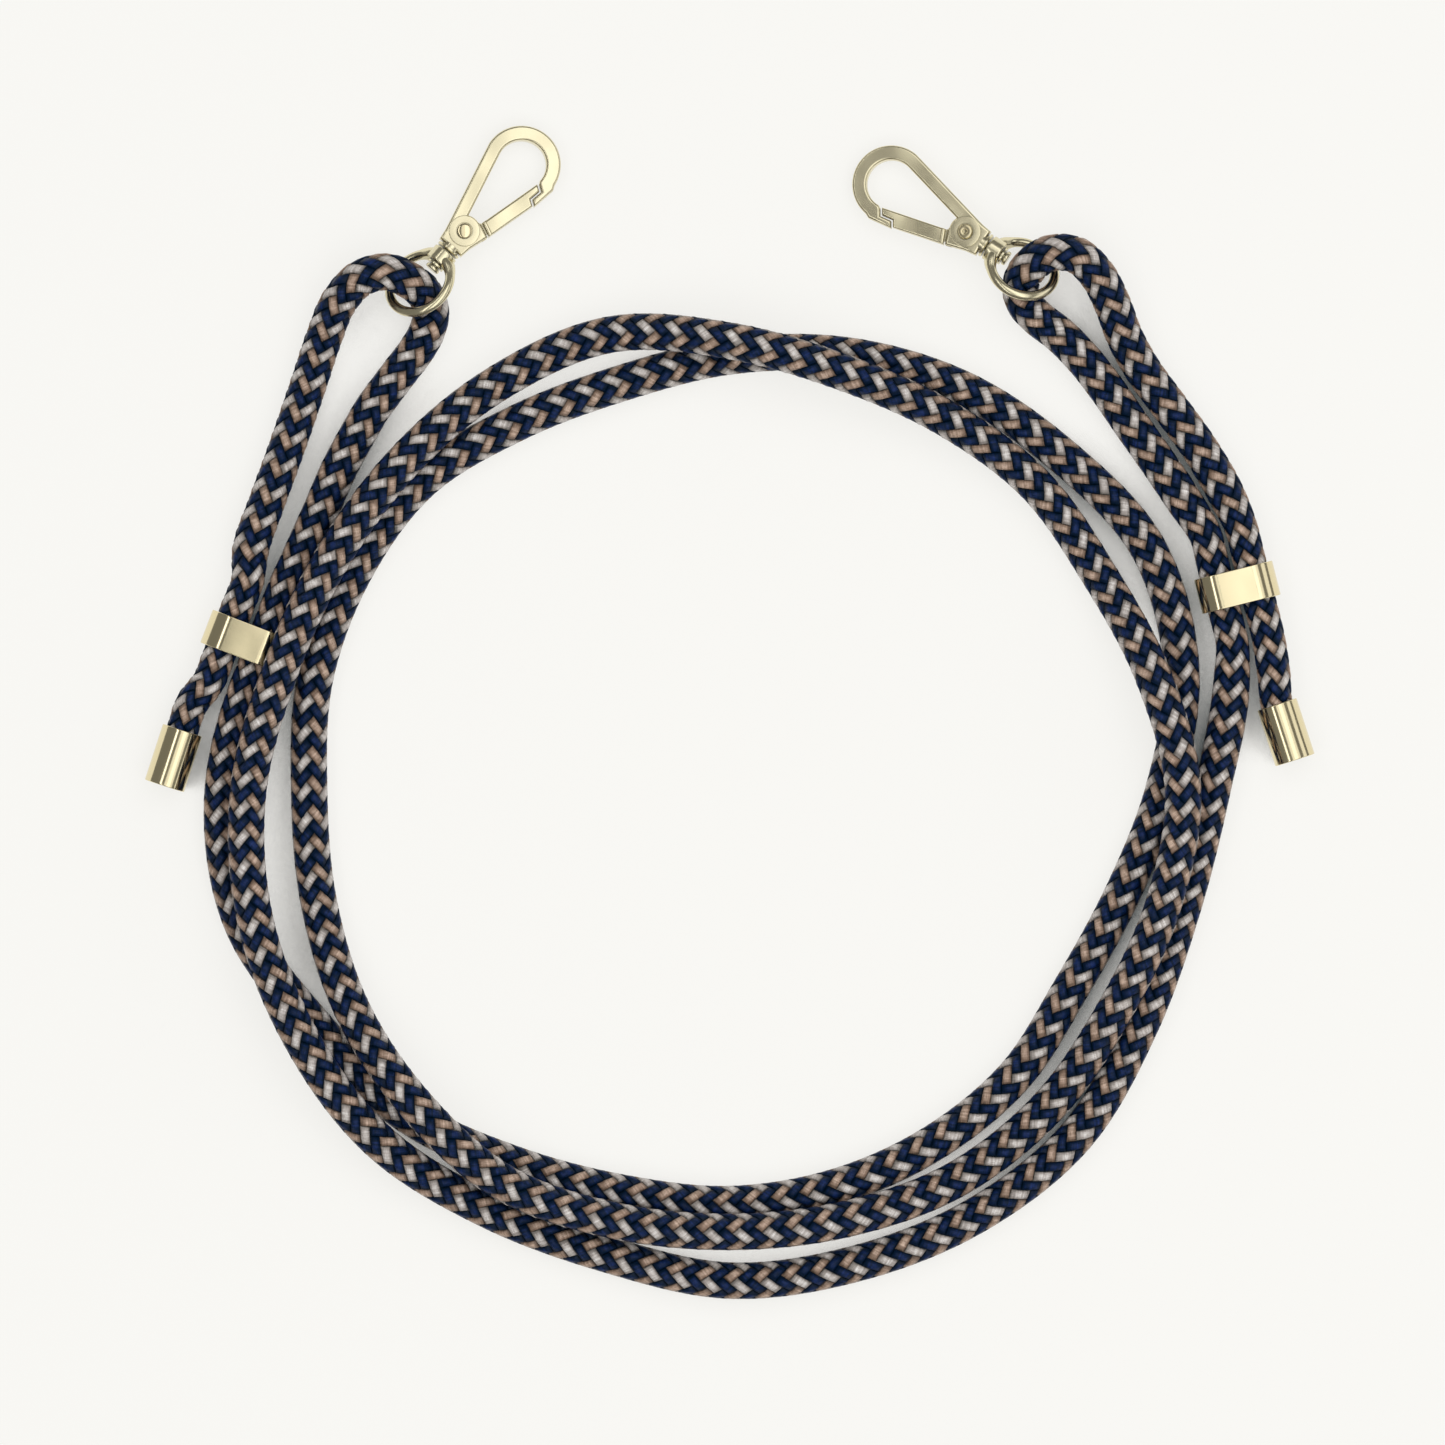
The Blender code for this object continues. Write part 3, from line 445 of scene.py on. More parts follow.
def yarn_material(name, deep, middle, light, gloss):
    """Satin filament yarn: painted shade where a float dives under, painted highlight (sheen) across
    its back.
    """
    n = Nodes(name)
    place = n.add("ShaderNodeUVMap", uv_map="yarn").outputs[0]
    spread = n.add("ShaderNodeMapping", Vector=place, Scale=FILAMENT_SCALE).outputs[0]
    filaments = n.add("ShaderNodeTexNoise", Vector=spread, Scale=1.0, Detail=2.0).outputs[0]
    # painted highlight: sheen bands across each float
    waves = n.add("ShaderNodeMapping", Vector=place, Scale=SHEEN_SCALE).outputs[0]
    sheen = n.add("ShaderNodeTexNoise", Vector=waves, Scale=1.0, Detail=1.0).outputs[0]
    bulge = float_bulge(n)
    filament_tone = n.maths("MULTIPLY", filaments, FILAMENT_WEIGHT)
    sheen_tone = n.maths("MULTIPLY", sheen, SHEEN_WEIGHT)
    # the filaments' own streaks plus the painted sheen highlight
    uneven = n.maths("SUBTRACT", n.maths("ADD", filament_tone, sheen_tone), TONE_SHIFT)
    # painted shade at a float's rims and a painted highlight on its back, from its bulge
    tone = n.maths("ADD", n.maths("MULTIPLY", bulge, BULGE_WEIGHT), uneven)
    n.feed(n.shader, "Base Color", n.ramp(tone, tuple(zip(YARN_TONES, (deep, middle, light)))))
    n.shader.inputs["Roughness"].default_value = YARN_ROUGHNESS
    n.shader.inputs["Specular IOR Level"].default_value = gloss
    pillow = n.add("ShaderNodeBump", Height=bulge, Strength=1.0, Distance=PILLOW).outputs[0]
    bump = n.add("ShaderNodeBump", Height=filaments, Strength=FILAMENT_BUMP,
                 Distance=FILAMENT_RELIEF, Normal=pillow)
    n.feed(n.shader, "Normal", bump.outputs[0])
    return n.material


def float_bulge(n):
    """How high a float stands: 0 at its rims, 1 on its back."""
    place = n.add("ShaderNodeUVMap", uv_map="float").outputs[0]
    split = n.add("ShaderNodeSeparateXYZ", Vector=place)
    parts = []
    for output, power in zip(split.outputs, BULGE_POWERS):
        off_middle = n.maths("ABSOLUTE", n.maths("SUBTRACT", n.maths("MULTIPLY", output, 2.0), 1.0))
        parts.append(n.maths("SUBTRACT", 1.0, n.maths("POWER", off_middle, power), clamp=True))
    return n.maths("SQRT", n.maths("MULTIPLY", *parts))


def metal_material(name, colour, roughness, grain, waviness):
    """Plated metal with polishing marks, uneven gloss, painted shade in its seams and crevices, and a
    slightly wavy surface.
    """
    n = Nodes(name)
    place = n.add("ShaderNodeTexCoord").outputs["Object"]
    marks = n.add("ShaderNodeMapping", Vector=place, Scale=MARKS_SCALE).outputs[0]
    fine = n.add("ShaderNodeTexNoise", Vector=marks, Scale=1.0, Detail=3.0).outputs[0]
    cloud = n.add("ShaderNodeTexNoise", Vector=place, Scale=CLOUD_SCALE, Detail=2.0).outputs[0]
    uneven = n.maths("MULTIPLY", cloud, CLOUD_GLOSS)
    # painted shade: the colour darkens where nearby surfaces close the metal in
    openness = n.add("ShaderNodeAmbientOcclusion", Distance=SEAM_SHADE_REACH, samples=SEAM_SHADE_SAMPLES)
    stops = [(at, tuple(share * channel for channel in colour)) for at, share in SEAM_SHADE]
    n.feed(n.shader, "Base Color", n.ramp(openness.outputs["AO"], stops))
    n.feed(n.shader, "Roughness", n.maths("ADD", roughness - CLOUD_GLOSS / 2, uneven))
    n.shader.inputs["Metallic"].default_value = 1.0
    swell = n.add("ShaderNodeTexNoise", Vector=place, Scale=SWELL_SCALE, Detail=0.0).outputs[0]
    wavy = n.add("ShaderNodeBump", Height=swell, Strength=1.0, Distance=waviness).outputs[0]
    bump = n.add("ShaderNodeBump", Height=fine, Strength=grain, Distance=MARKS_RELIEF, Normal=wavy)
    n.feed(n.shader, "Normal", bump.outputs[0])
    return n.material


# ---------------------------------------------------------------- rope

def turning_frames(line):
    """Normal and side at each point of a line, turning no more than the line does."""
    tangents = np.gradient(line, axis=0)
    tangents /= np.linalg.norm(tangents, axis=1)[:, None]
    normals = np.empty_like(line)
    normal = np.array([0.0, 0.0, 1.0])
    for i, tangent in enumerate(tangents):
        normal = normal - tangent * (normal @ tangent)
        normal /= np.linalg.norm(normal)
        normals[i] = normal
    return normals, np.cross(tangents, normals)


def float_height(cell_u, cell_v, u, v):
    """Height, 0 to 1, of the yarn on top of a crossing, at places u and v of the braid."""
    column = (cell_u + cell_v) % 4
    rising = column < 2
    across = np.where(rising, u - cell_u, v - cell_v)
    along = np.where(rising, v - cell_v + column, u - cell_u + column - 2)
    arches = []
    for off_middle, (power, root) in zip((2 * across - 1, along - 1), FLOAT_ARCH):
        arches.append(np.clip(1 - np.abs(off_middle) ** power, 0, 1) ** root)
    return arches[0] * arches[1]


def braid_places(length):
    """Places u and v of every vertex: rows along the rope, columns round it."""
    knots = len(YARN_KNOTS)
    around = YARNS_EACH_WAY * knots
    rings = knots * round(2 * length / YARN_PITCH) + 1
    column = np.arange(around)[None, :]
    row = np.arange(rings)[:, None] + column
    knot = np.array(YARN_KNOTS)
    u = column // knots + knot[column % knots]
    v = row // knots + knot[row % knots]
    return np.broadcast_to(u, v.shape), v, around, rings


def braid_heights(u, v):
    """Height of the braid at its vertices: the highest float that meets there."""
    height = np.zeros_like(v)
    nudge = 1e-6
    for du in (-nudge, nudge):
        for dv in (-nudge, nudge):
            cell_u, cell_v = np.floor(u + du).astype(int), np.floor(v + dv).astype(int)
            height = np.maximum(height, float_height(cell_u, cell_v, u, v))
    return height


def braid_surface(fine, u, v):
    """Positions in millimetres of the braid's vertices round the rope's route."""
    steps = np.linalg.norm(np.diff(fine[:, :3], axis=0), axis=1)
    along = np.concatenate([[0.0], np.cumsum(steps)])
    normals, sides = turning_frames(fine[:, :3])
    station = (v - u) / (v - u).max() * along[-1]
    angle = (u + v) * math.pi / YARNS_EACH_WAY

    def at_station(values):
        return np.stack([np.interp(station, along, column) for column in values.T], axis=-1)

    middle = at_station(fine[:, :3])
    radius = np.interp(station, along, fine[:, 3])
    cosine, sine = np.cos(angle)[..., None], np.sin(angle)[..., None]
    outward = cosine * at_station(normals) + sine * at_station(sides)
    reach = radius * (GROOVE + (CREST - GROOVE) * braid_heights(u, v))
    offset = outward * reach[..., None]
    press = np.minimum(1.0, (middle[..., 2] - TABLE_CLEARANCE) / (radius * CREST))
    offset[..., 2] = np.where(offset[..., 2] < 0, offset[..., 2] * press, offset[..., 2])
    return middle + offset


def braid_faces(around, rings):
    """Vertex numbers of the faces, with the row and column of each face's first corner."""
    faces, corners = [], []
    for row in range(rings):
        for column in range(around):
            beside = (column + 1) % around
            ring = [(row, column), (row - 1, beside), (row, beside), (row + 1, column)]
            kept = [k for k, (r, _) in enumerate(ring) if 0 <= r < rings]
            if len(kept) > 2:
                faces.append([ring[k][0] * around + ring[k][1] for k in kept])
                corners.append((row, column, kept))
    return faces, corners


def build_rope(materials):
    """The braided rope, and the line of points in millimetres that it follows."""
    fine = smooth_curve(rope_route(), ROUTE_STEP)
    length = float(np.linalg.norm(np.diff(fine[:, :3], axis=0), axis=1).sum())
    u, v, around, rings = braid_places(length)
    places = braid_surface(fine, u, v).reshape(-1, 3) * MM
    faces, corners = braid_faces(around, rings)
    last = (rings - 1) * around
    ends = [list(range(around))[::-1], list(range(last, last + around))]
    mesh = bpy.data.meshes.new("braided_rope")
    mesh.from_pydata(places.tolist(), [], faces + ends)
    for material in materials:
        mesh.materials.append(material)
    paint_braid(mesh, corners)
    mesh.shade_smooth()
    rope = bpy.data.objects.new("braided_rope", mesh)
    bpy.context.collection.objects.link(rope)
    print(f"rope length {length:.1f} mm, faces {len(mesh.polygons)}")
    return rope, fine


def paint_braid(mesh, corners):
    """Give each float its yarn's colour and its own place across and along the yarn."""
    knots = len(YARN_KNOTS)
    knot = np.array(YARN_KNOTS + (1.0,))
    colours = np.zeros(len(mesh.polygons), int)
    places = np.zeros((len(mesh.loops), 2))
    shifts = np.zeros((len(mesh.loops), 2))
    loop = 0
    for face, (row, column, kept) in enumerate(corners):
        cell_u, part_u = divmod(column, knots)
        cell_v, part_v = divmod(row + column, knots)
        turn = (cell_u + cell_v) % 4
        own_u = knot[[part_u, part_u + 1, part_u + 1, part_u]][kept]
        own_v = knot[[part_v, part_v, part_v + 1, part_v + 1]][kept]
        yarn = cell_u if turn < 2 else cell_v
        is_navy = yarn % 2 == (0 if turn < 2 else 1)
        colours[face] = 0 if is_navy else (1 if turn < 2 else 2)
        across, along = (own_u, own_v + turn) if turn < 2 else (own_v, own_u + turn - 2)
        crossed = cell_v if turn < 2 else cell_u
        places[loop:loop + len(kept)] = np.stack([across, along / 2], axis=-1)
        shifts[loop:loop + len(kept)] = (YARN_SHIFTS[0] * yarn, YARN_SHIFTS[1] * crossed)
        loop += len(kept)
    mesh.polygons.foreach_set("material_index", colours)
    mesh.uv_layers.new(name="float").data.foreach_set("uv", places.ravel())
    stretched = places * (1.0, 2.0) + shifts
    mesh.uv_layers.new(name="yarn").data.foreach_set("uv", stretched.ravel())


# ---------------------------------------------------------------- metal shapes

def smooth_shaded(mesh):
    mesh.shade_smooth()
    mesh.set_sharp_from_angle(angle=math.radians(SHARP_ANGLE))


def build_mesh(name, bm, material, frame):
    """Turn a bmesh in millimetres into an object whose local axes are the frame's."""
    bmesh.ops.recalc_face_normals(bm, faces=bm.faces)
    bmesh.ops.scale(bm, vec=(MM, MM, MM), verts=bm.verts)
    mesh = bpy.data.meshes.new(name)
    bm.to_mesh(mesh)
    bm.free()
    smooth_shaded(mesh)
    mesh.materials.append(material)
    piece = bpy.data.objects.new(name, mesh)
    bpy.context.collection.objects.link(piece)
    piece.matrix_world = frame
    return piece


def shape_with(piece, operation, bm):
    """Join a shape to a piece, or cut it out, and keep the result as the piece's own mesh."""
    tool = build_mesh("tool", bm, piece.data.materials[0], piece.matrix_world)
    modifier = piece.modifiers.new(operation, "BOOLEAN")
    modifier.operation = operation
    modifier.object = tool
    bpy.context.view_layer.update()
    evaluated = piece.evaluated_get(bpy.context.evaluated_depsgraph_get())
    mesh = bpy.data.meshes.new_from_object(evaluated)
    piece.modifiers.clear()
    piece.data = mesh
    bpy.data.objects.remove(tool)


def arc(centre, radius, start, end, count):
    """Points on a circle from one angle in degrees to another."""
    points = []
    for i in range(count):
        angle = math.radians(start + (end - start) * i / (count - 1))
        points.append((centre[0] + radius * math.cos(angle), centre[1] + radius * math.sin(angle)))
    return points


def lathe(profile, closed=False, steps=LATHE_STEPS):
    """Spin a profile of (radius, height) about Z. It is closed, or has both ends on the axis."""
    bm = bmesh.new()
    verts = [bm.verts.new((radius, 0.0, height)) for radius, height in profile]
    edges = [bm.edges.new(pair) for pair in zip(verts, verts[1:])]
    if closed:
        edges.append(bm.edges.new((verts[-1], verts[0])))
    bmesh.ops.spin(bm, geom=verts + edges, axis=(0, 0, 1), cent=(0, 0, 0),
                   angle=math.tau, steps=steps, use_merge=True)
    bmesh.ops.remove_doubles(bm, verts=bm.verts, dist=MERGE_DISTANCE)
    return bm


def slab(outline, thickness, bevel=0.0):
    """Extrude a flat outline to both sides of z = 0, with its rims rounded."""
    bm = bmesh.new()
    face = bm.faces.new([bm.verts.new((u, v, -thickness / 2)) for u, v in outline])
    raised = bmesh.ops.extrude_face_region(bm, geom=[face])["geom"]
    top = [item for item in raised if isinstance(item, bmesh.types.BMVert)]
    bmesh.ops.translate(bm, verts=top, vec=(0, 0, thickness))
    if bevel:
        rims = [edge for edge in bm.edges if edge.verts[0].co.z == edge.verts[1].co.z]
        bmesh.ops.bevel(bm, geom=rims, offset=bevel, segments=BEVEL_STEPS, profile=0.5,
                        affect="EDGES", clamp_overlap=True)
    return bm


def rod(radius, start, end):
    return lathe([(0, start), (radius, start), (radius, end), (0, end)], steps=ROD_STEPS)


def along_u(bm):
    """Turn a shape that was spun about Z so that its axis lies along the post."""
    bmesh.ops.rotate(bm, verts=bm.verts, cent=(0, 0, 0), matrix=Matrix.Rotation(math.pi / 2, 3, "Y"))
    return bm


def moved(bm, u):
    bmesh.ops.translate(bm, verts=bm.verts, vec=(u, 0, 0))
    return bm


def rounded(corners, radius, steps=4):
    """A profile with each inner corner replaced by a short curve of that size."""
    points = [corners[0]]
    for before, corner, after in zip(corners, corners[1:], corners[2:]):
        corner = Vector(corner)
        start = corner + (Vector(before) - corner).normalized() * radius
        end = corner + (Vector(after) - corner).normalized() * radius
        for i in range(steps + 1):
            t = i / steps
            points.append(tuple((1 - t) ** 2 * start + 2 * t * (1 - t) * corner + t * t * end))
    return points + [corners[-1]]


# ---------------------------------------------------------------- metal parts

def dress(piece, node, body):
    """Let a finer piece stand for a CAD node and move with its body, with its flats shaded flat."""
    normals = piece.modifiers.new("weighted normals", "WEIGHTED_NORMAL")
    normals.keep_sharp = True
    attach(piece, body)
    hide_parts(node)
    return piece


def build_cap(side, metal):
    bore = CAP_RADIUS - CAP_WALL
    corners = [(0, 0), (CAP_RADIUS, 0), (CAP_RADIUS, CAP_LENGTH), (bore, CAP_LENGTH), (bore, CAP_LIP)]
    profile = rounded(corners, CAP_ROUNDING) + [(bore, CAP_FLOOR), (0, CAP_FLOOR)]
    frame = upright_frame(layout_point(*side["cap_floor"], CAP_RADIUS), side["cap_heading"])
    name = side["name"]
    cap = build_mesh(f"{name}_cap_turned", lathe(profile, steps=CAP_STEPS), metal, frame)
    return dress(cap, f"{name}_end_cap", "lead")


def bridge(bm, loops):
    """Close a ring of equal loops into one skin."""
    for loop, following in zip(loops, loops[1:] + loops[:1]):
        for i, vert in enumerate(loop):
            j = (i + 1) % len(loop)
            bm.faces.new((vert, loop[j], following[j], following[i]))


def crown(across):
    """How high the slider's flats stand at a place across it: 1 in the middle, less at the sides."""
    return 1 - SLIDER_CROWN * (across / STRAND_SPACING) ** 2


def end_loop(bm, profile, centre, angle):
    """One loop of the slider's wall round one of its ends."""
    loop = []
    for offset, height in profile:
        reach = SLIDER_INNER_RADIUS + offset
        across = centre + reach * math.cos(angle)
        loop.append(bm.verts.new((across, reach * math.sin(angle) * crown(across), height)))
    return loop


def flat_loop(bm, profile, across, top):
    """One loop of the slider's wall over one of its flats."""
    facing = crown(across) if top else -crown(across)
    return [bm.verts.new((across, (SLIDER_INNER_RADIUS + offset) * facing, height))
            for offset, height in profile]


def build_slider(side, metal):
    """A flat band with softly rounded rims, swept round the two strands."""
    half = SLIDER_LENGTH / 2
    corners = [(0, 0), (0, -half), (SLIDER_WALL, -half), (SLIDER_WALL, half), (0, half), (0, 0)]
    profile = rounded(corners, SLIDER_ROUNDING)[:-1]
    bm = bmesh.new()
    loops = []
    for way, start in ((1, -90), (-1, 90)):
        for i in range(SLIDER_STEPS + 1):
            angle = math.radians(start + 180 * i / SLIDER_STEPS)
            loops.append(end_loop(bm, profile, way * STRAND_SPACING / 2, angle))
        for share in (-0.5, 0.0, 0.5):
            loops.append(flat_loop(bm, profile, share * way * STRAND_SPACING, way > 0))
    bridge(bm, loops)
    frame = upright_frame(layout_point(*side["slider"], SLIDER_OUTER_RADIUS), side["slider_heading"])
    name = side["name"]
    band = build_mesh(f"{name}_slider_band", bm, metal, frame)
    return dress(band, f"{name}_slider", f"{name}_slider")


def ring_wire():
    """Round wire bent to a ring, which widens into a flat saddle under the boss."""
    bm = bmesh.new()
    loops = []
    for i in range(RING_STEPS):
        angle = math.remainder(math.tau * i / RING_STEPS, math.tau)
        swell = math.exp(-(angle / SADDLE_SPAN) ** 4)
        loop = []
        for x, z in arc((0, 0), RING_WIRE_RADIUS, 0, 360 - 360 / WIRE_STEPS, WIRE_STEPS):
            reach = RING_RADIUS + x * (1 + (SADDLE_OUT if x > 0 else SADDLE_IN) * swell)
            height = z * (1 + SADDLE_WIDE * swell)
            loop.append(bm.verts.new((reach * math.cos(angle), reach * math.sin(angle), height)))
        loops.append(loop)
    bridge(bm, loops)
    return bm


def build_ring(side, metal):
    """Cast ring whose wire thickens into the boss round the post."""
    name = side["name"]
    ring = build_mesh(f"{name}_ring_cast", ring_wire(), metal, swivel_frame(side, RING_ROLL))
    boss = rounded([(0, BOSS_INNER), (BOSS_RADIUS, BOSS_INNER), (BOSS_RADIUS, BOSS_OUTER),
                    (0, BOSS_OUTER)], BOSS_EDGE)
    shape_with(ring, "UNION", along_u(lathe(boss)))
    bore = along_u(rod(POST_BORE_RADIUS, BOSS_INNER - CUT_PAST, BOSS_OUTER + CUT_PAST))
    shape_with(ring, "DIFFERENCE", bore)
    smooth_shaded(ring.data)
    dress(ring, f"{name}_swivel_ring", f"{name}_ring")


def build_washer(side, metal):
    name = side["name"]
    outer = BOSS_INNER - GAP
    inner = outer - WASHER_THICKNESS
    profile = [(POST_BORE_RADIUS, inner), (WASHER_RADIUS, inner), (WASHER_RADIUS, outer),
               (POST_BORE_RADIUS, outer)]
    disc = along_u(lathe(profile, closed=True))
    washer = build_mesh(f"{name}_washer_turned", disc, metal, swivel_frame(side, RING_ROLL))
    dress(washer, f"{name}_swivel_washer", f"{name}_ring")


def build_post(side, metal):
    """Headed pin from inside the ring, through washer and boss, into the hook."""
    name = side["name"]
    head_top = BOSS_INNER - 2 * GAP - WASHER_THICKNESS
    head_end = head_top - POST_HEAD_LENGTH
    tip = HOOK_BASE + RIVET_U - SLOT_RADIUS - 2 * GAP
    profile = rounded([(0, head_end), (POST_HEAD_RADIUS, head_end), (POST_HEAD_RADIUS, head_top),
                       (POST_RADIUS, head_top)], POST_ROUNDING) + [(POST_RADIUS, tip), (0, tip)]
    pin = along_u(lathe(profile))
    post = build_mesh(f"{name}_post_turned", pin, metal, swivel_frame(side, 0.0))
    dress(post, f"{name}_swivel_post", f"{name}_hook")


def hook_outline():
    """The hook's plate: base, housing, spine, round end and nose, anticlockwise from the base."""
    eye = (EYE_CENTRE_U, 0.0)
    du, dv = STEP_HALF_GAP
    step = [(u + du, v + dv) for u, v in GATE_STEP]
    points = [(0.0, -BASE_HALF_WIDTH), (BASE_FLARE[0], -BASE_FLARE[1])]
    points += list(HOUSING_END)
    points += arc((RIVET_U, 0), HOUSING_INNER_RADIUS, *HOUSING_ARC)
    points.append(EYE_APEX)
    points += arc(eye, EYE_INNER_RADIUS, SPINE_INNER_ANGLE, NOSE_ANGLES[0], EYE_POINTS)
    points += step
    points.append(NOSE_CORNER)
    points += arc(eye, EYE_OUTER_RADIUS, NOSE_ANGLES[1], SPINE_TOP_ANGLE, EYE_POINTS)
    points += [SPINE_FLARE, (0.0, BASE_HALF_WIDTH)]
    return points


def hook_collar():
    """The round foot of the hook, which stands on the ring's boss."""
    return along_u(lathe([
        (0, -COLLAR_LENGTH), (COLLAR_RADIUS - COLLAR_EDGE, -COLLAR_LENGTH),
        (COLLAR_RADIUS, COLLAR_EDGE - COLLAR_LENGTH), (COLLAR_RADIUS, -NECK_SLOPE * COLLAR_EDGE),
        (NECK_RADIUS, -COLLAR_EDGE), (NECK_RADIUS, COLLAR_SINK), (0, COLLAR_SINK),
    ]))


def rivet_bore():
    return moved(rod(RIVET_BORE_RADIUS, -HOOK_THICKNESS, HOOK_THICKNESS), RIVET_U)


def build_hook_body(side, metal):
    """Cast plate with collar, raised pads round the rivet, and the gate's slot and bores."""
    name = side["name"]
    plate = slab(hook_outline(), HOOK_THICKNESS, HOOK_BEVEL)
    body = build_mesh(f"{name}_hook_cast", plate, metal, hook_frame(side))
    shape_with(body, "UNION", hook_collar())
    half = HOOK_THICKNESS / 2 + PAD_HEIGHT
    pad = rounded([(0, -half), (PAD_RADIUS, -half), (PAD_RADIUS, half), (0, half)], PAD_ROUNDING)
    shape_with(body, "UNION", moved(lathe(pad), RIVET_U))
    slot = arc((RIVET_U, 0), SLOT_RADIUS, *SLOT_ARC) + list(SLOT_MOUTH)
    shape_with(body, "DIFFERENCE", slab(slot, SLOT_HEIGHT))
    shape_with(body, "DIFFERENCE", rivet_bore())
    for low, high in ((half - PAD_RECESS, HOOK_THICKNESS), (-HOOK_THICKNESS, PAD_RECESS - half)):
        recess = rod(RIVET_HEAD_RADIUS + PAD_RECESS, low, high)
        shape_with(body, "DIFFERENCE", moved(recess, RIVET_U))
    bore_end = RIVET_U - SLOT_RADIUS + 2 * GAP
    bore = rod(POST_BORE_RADIUS, -COLLAR_LENGTH - CUT_PAST, bore_end)
    shape_with(body, "DIFFERENCE", along_u(bore))
    smooth_shaded(body.data)
    dress(body, f"{name}_hook_body", f"{name}_hook")


def build_gate(side, metal):
    """The gate's bar with its stepped tip, thumb ridge and the tongue round the rivet."""
    name = side["name"]
    du, dv = STEP_HALF_GAP
    inner, upper, lower, outer = [(u - du, v - dv) for u, v in GATE_STEP]
    start, end = GATE_HINGE_END
    plate = slab([start, outer, lower, upper, inner, end], GATE_THICKNESS, GATE_BEVEL)
    gate = build_mesh(f"{name}_gate_cast", plate, metal, hook_frame(side))
    ridge = [start, (start[0] + RIDGE_WIDTH, start[1] - RIDGE_STEP),
             (end[0] + RIDGE_WIDTH, end[1] - RIDGE_STEP), end]
    shape_with(gate, "UNION", slab(ridge, RIDGE_THICKNESS, RIDGE_BEVEL))
    tongue = arc((RIVET_U, 0), TONGUE_RADIUS, *TONGUE_ARC) + list(TONGUE_ROOT)
    shape_with(gate, "UNION", slab(tongue, TONGUE_THICKNESS))
    shape_with(gate, "DIFFERENCE", rivet_bore())
    smooth_shaded(gate.data)
    dress(gate, f"{name}_hook_gate", f"{name}_gate")


def build_rivet(side, metal):
    """Gate pin: a domed head on one face and a rolled, hollow end on the other."""
    name = side["name"]
    face = HOOK_THICKNESS / 2 + PAD_HEIGHT + GAP
    top, bottom = face + RIVET_HEAD_HEIGHT, -face - RIVET_HEAD_HEIGHT
    rolled = [
        (0, bottom + RIVET_TUBE_DEPTH), (RIVET_TUBE_RADIUS, bottom + RIVET_TUBE_DEPTH),
        (RIVET_TUBE_RADIUS, bottom), (ROLLED_SHARE * RIVET_HEAD_RADIUS, bottom),
        (RIVET_HEAD_RADIUS, -face),
    ]
    rim, rise = face + RIVET_ROUNDING, RIVET_HEAD_HEIGHT - RIVET_ROUNDING
    dome = [(RIVET_HEAD_RADIUS * math.cos(a), rim + rise * math.sin(a))
            for a in np.linspace(0, math.pi / 2, DOME_POINTS)[:-1]]
    profile = rounded(rolled, RIVET_ROUNDING)
    profile += [(RIVET_RADIUS, -face), (RIVET_RADIUS, face), (RIVET_HEAD_RADIUS, face)]
    profile += dome + [(0, top)]
    rivet = build_mesh(f"{name}_rivet_turned", moved(lathe(profile), RIVET_U), metal, hook_frame(side))
    dress(rivet, f"{name}_gate_rivet", f"{name}_hook")


# ---------------------------------------------------------------- stage

def build_camera():
    camera = bpy.data.cameras.new("camera")
    camera.sensor_width = SENSOR_WIDTH
    camera.lens = SENSOR_WIDTH * CAMERA_HEIGHT / PHOTO_WIDTH
    camera.clip_end = CAMERA_REACH
    holder = bpy.data.objects.new("camera", camera)
    holder.location = layout_point(*PHOTO_CENTRE, CAMERA_HEIGHT) * MM
    bpy.context.collection.objects.link(holder)
    bpy.context.scene.camera = holder


def open_sky(n):
    """How open a place on the table is to its more open side: low only in gaps between ropes."""
    most = 0.0
    for across, upward in GAP_LOOKS:
        leaning = n.add("ShaderNodeCombineXYZ", X=across, Z=upward).outputs[0]
        look = n.add("ShaderNodeAmbientOcclusion", Distance=GAP_REACH, Normal=leaning,
                     samples=GAP_SAMPLES)
        most = n.maths("MAXIMUM", look.outputs["AO"], most)
    return most


def paper_colour(n):
    """The table's colour as the camera sees it: plain, and dark in the gaps between ropes."""
    place = n.add("ShaderNodeTexCoord").outputs["Object"]
    across = n.maths("ABSOLUTE", n.add("ShaderNodeSeparateXYZ", Vector=place).outputs[0])
    lit = n.add("ShaderNodeMapRange", Value=across, From_Min=LIT_ACROSS[0], From_Max=LIT_ACROSS[1],
                To_Min=LIT_GAIN, To_Max=0.0).outputs[0]
    return n.ramp(n.maths("ADD", open_sky(n), lit), GAP_SHADOW)


def paper_material():
    """Pale matt paper that lamps light, mixed with its plain colour for camera and mirrors."""
    n = Nodes("table_paper")
    n.shader.inputs["Base Color"].default_value = TABLE_COLOUR
    n.shader.inputs["Roughness"].default_value = TABLE_ROUGHNESS
    n.shader.inputs["Specular IOR Level"].default_value = 0.0
    plain = n.add("ShaderNodeEmission", Color=paper_colour(n), Strength=1.0).outputs[0]
    path = n.add("ShaderNodeLightPath").outputs
    mirrored = n.maths("ADD", path["Is Glossy Ray"], path["Is Transmission Ray"])
    seen = n.maths("ADD", path["Is Camera Ray"], mirrored, clamp=True)
    blend = n.tree.nodes.new("ShaderNodeMixShader")
    n.tree.links.new(n.maths("MULTIPLY", seen, TABLE_PLAIN), blend.inputs[0])
    n.tree.links.new(n.shader.outputs[0], blend.inputs[1])
    n.tree.links.new(plain, blend.inputs[2])
    n.tree.links.new(blend.outputs[0], n.tree.nodes["Material Output"].inputs[0])
    return n.material


def build_table():
    bpy.ops.mesh.primitive_plane_add(size=TABLE_WIDTH, location=(0, 0, TABLE_HEIGHT))
    table = bpy.context.object
    table.name = "table"
    table.data.materials.append(paper_material())


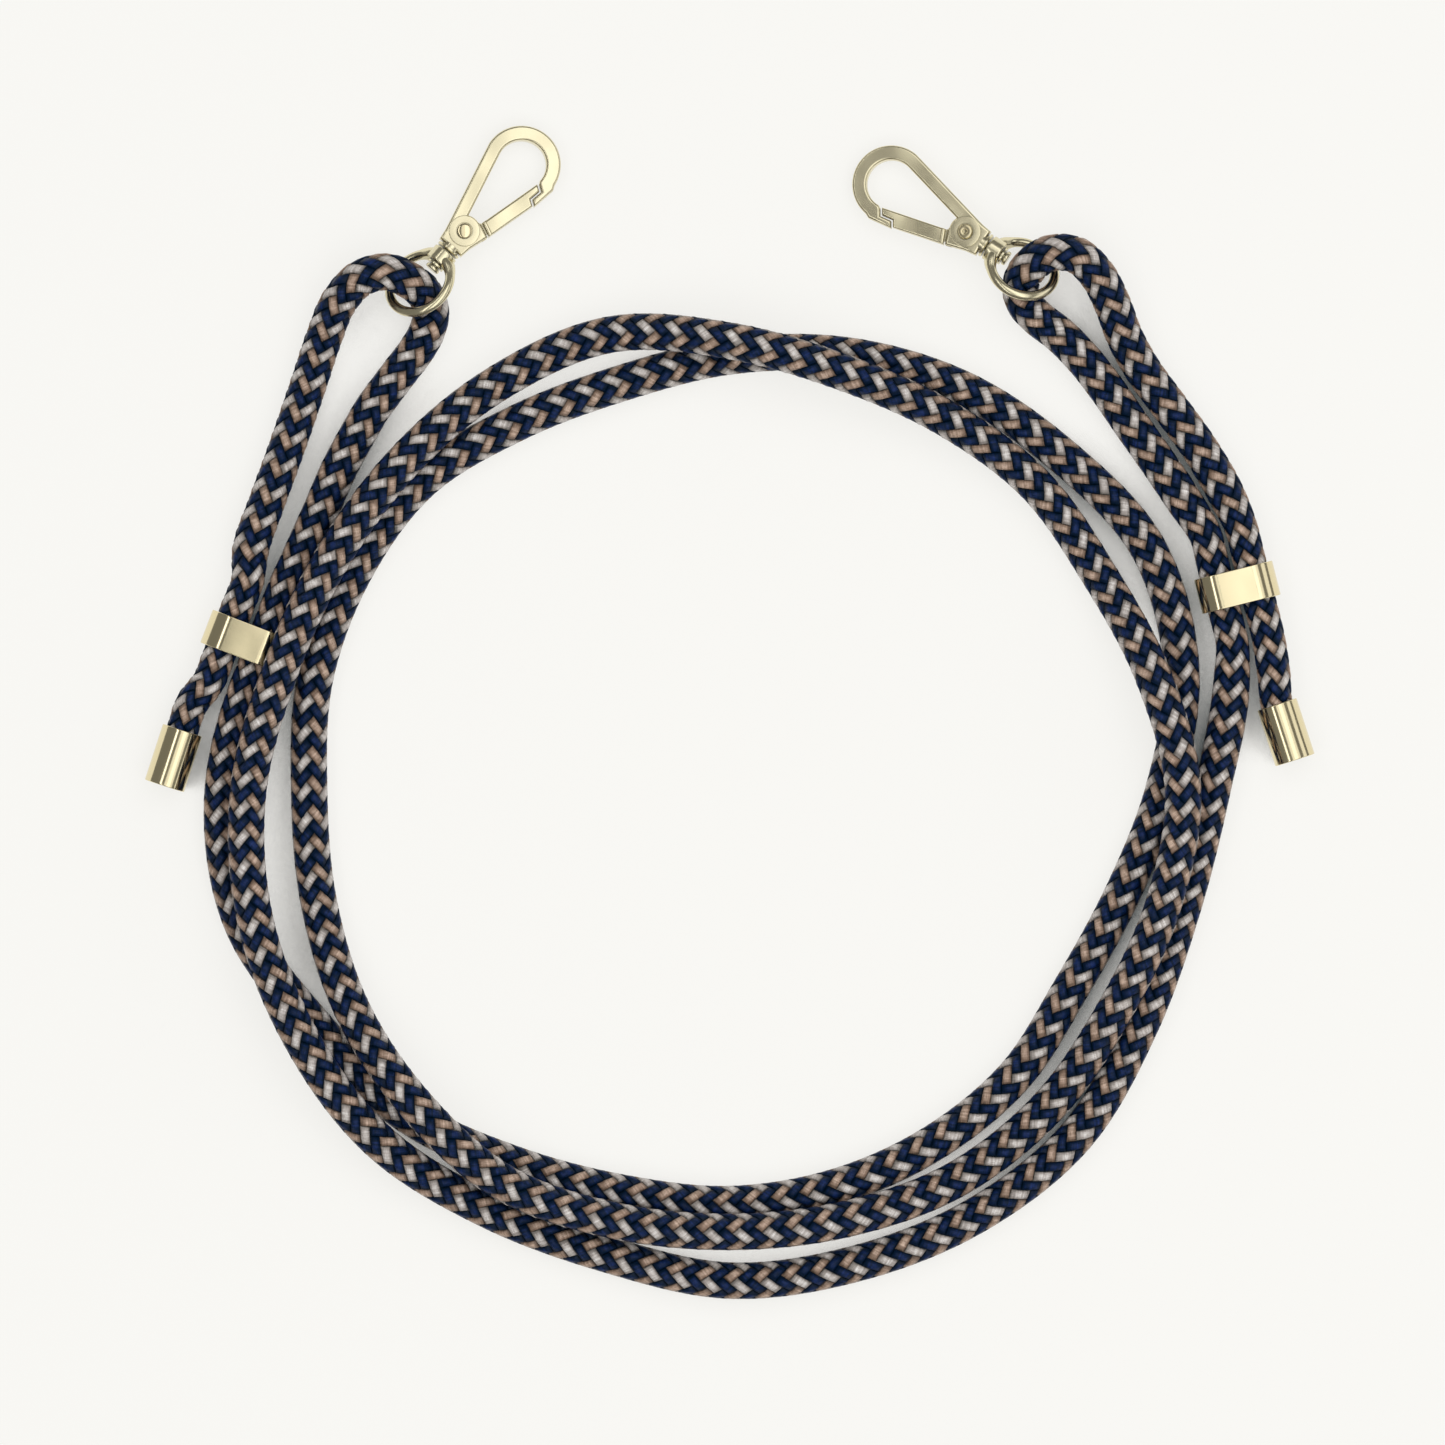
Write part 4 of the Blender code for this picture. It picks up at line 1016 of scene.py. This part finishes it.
def softbox(name, across, height, size, brightness, reflected):
    """A lamp over the table, in metres, that faces the lead and that metal may or may not reflect."""
    light = bpy.data.lights.new(name, "AREA")
    light.shape = "RECTANGLE"
    light.size, light.size_y = size
    light.energy = brightness * math.pi * size[0] * size[1]
    holder = bpy.data.objects.new(name, light)
    holder.location = (across, PHOTO_CENTRE[1] * MM - LAYOUT_SHIFT[1] * MM, height)
    holder.rotation_euler = (0, math.atan2(across, height), 0)
    holder.visible_camera = False
    holder.visible_glossy = reflected
    bpy.context.collection.objects.link(holder)


def build_light():
    for lamp in LAMPS:
        softbox(*lamp)
    world = bpy.data.worlds.new("studio")
    world.use_nodes = True
    background = world.node_tree.nodes["Background"]
    background.inputs["Color"].default_value = WORLD_COLOUR
    background.inputs["Strength"].default_value = WORLD_STRENGTH
    bpy.context.scene.world = world


# ---------------------------------------------------------------- the scene

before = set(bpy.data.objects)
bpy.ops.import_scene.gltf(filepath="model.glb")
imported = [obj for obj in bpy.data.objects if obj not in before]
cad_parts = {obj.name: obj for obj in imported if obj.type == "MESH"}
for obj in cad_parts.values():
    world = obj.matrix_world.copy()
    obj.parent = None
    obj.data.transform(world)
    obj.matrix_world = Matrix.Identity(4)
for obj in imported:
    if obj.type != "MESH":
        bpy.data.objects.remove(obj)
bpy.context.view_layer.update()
build_camera()

navy = yarn_material("navy_yarn", *NAVY)
cream = yarn_material("cream_yarn", *CREAM)
rose = yarn_material("rose_beige_yarn", *ROSE)
satin_gold = metal_material("satin_gold", *SATIN_GOLD)
bright_gold = metal_material("bright_gold", *BRIGHT_GOLD)
spring_steel = metal_material("spring_steel", *SPRING_STEEL)

rope, rope_line = build_rope((navy, cream, rose))
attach(rope, "lead")
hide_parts("rope_coil", "rope_left_arm", "rope_right_arm")

on_rope = []
for end in SIDES:
    on_rope += [build_cap(end, bright_gold), build_slider(end, bright_gold)]
    build_ring(end, satin_gold)
    build_washer(end, satin_gold)
    build_post(end, satin_gold)
    build_hook_body(end, satin_gold)
    build_gate(end, satin_gold)
    build_rivet(end, bright_gold)
    spring = bpy.data.objects[f"{end['name']}_gate_spring"]
    spring.data.materials.clear()
    spring.data.materials.append(spring_steel)

build_table()
build_light()
bpy.context.scene.view_settings.view_transform = "Standard"
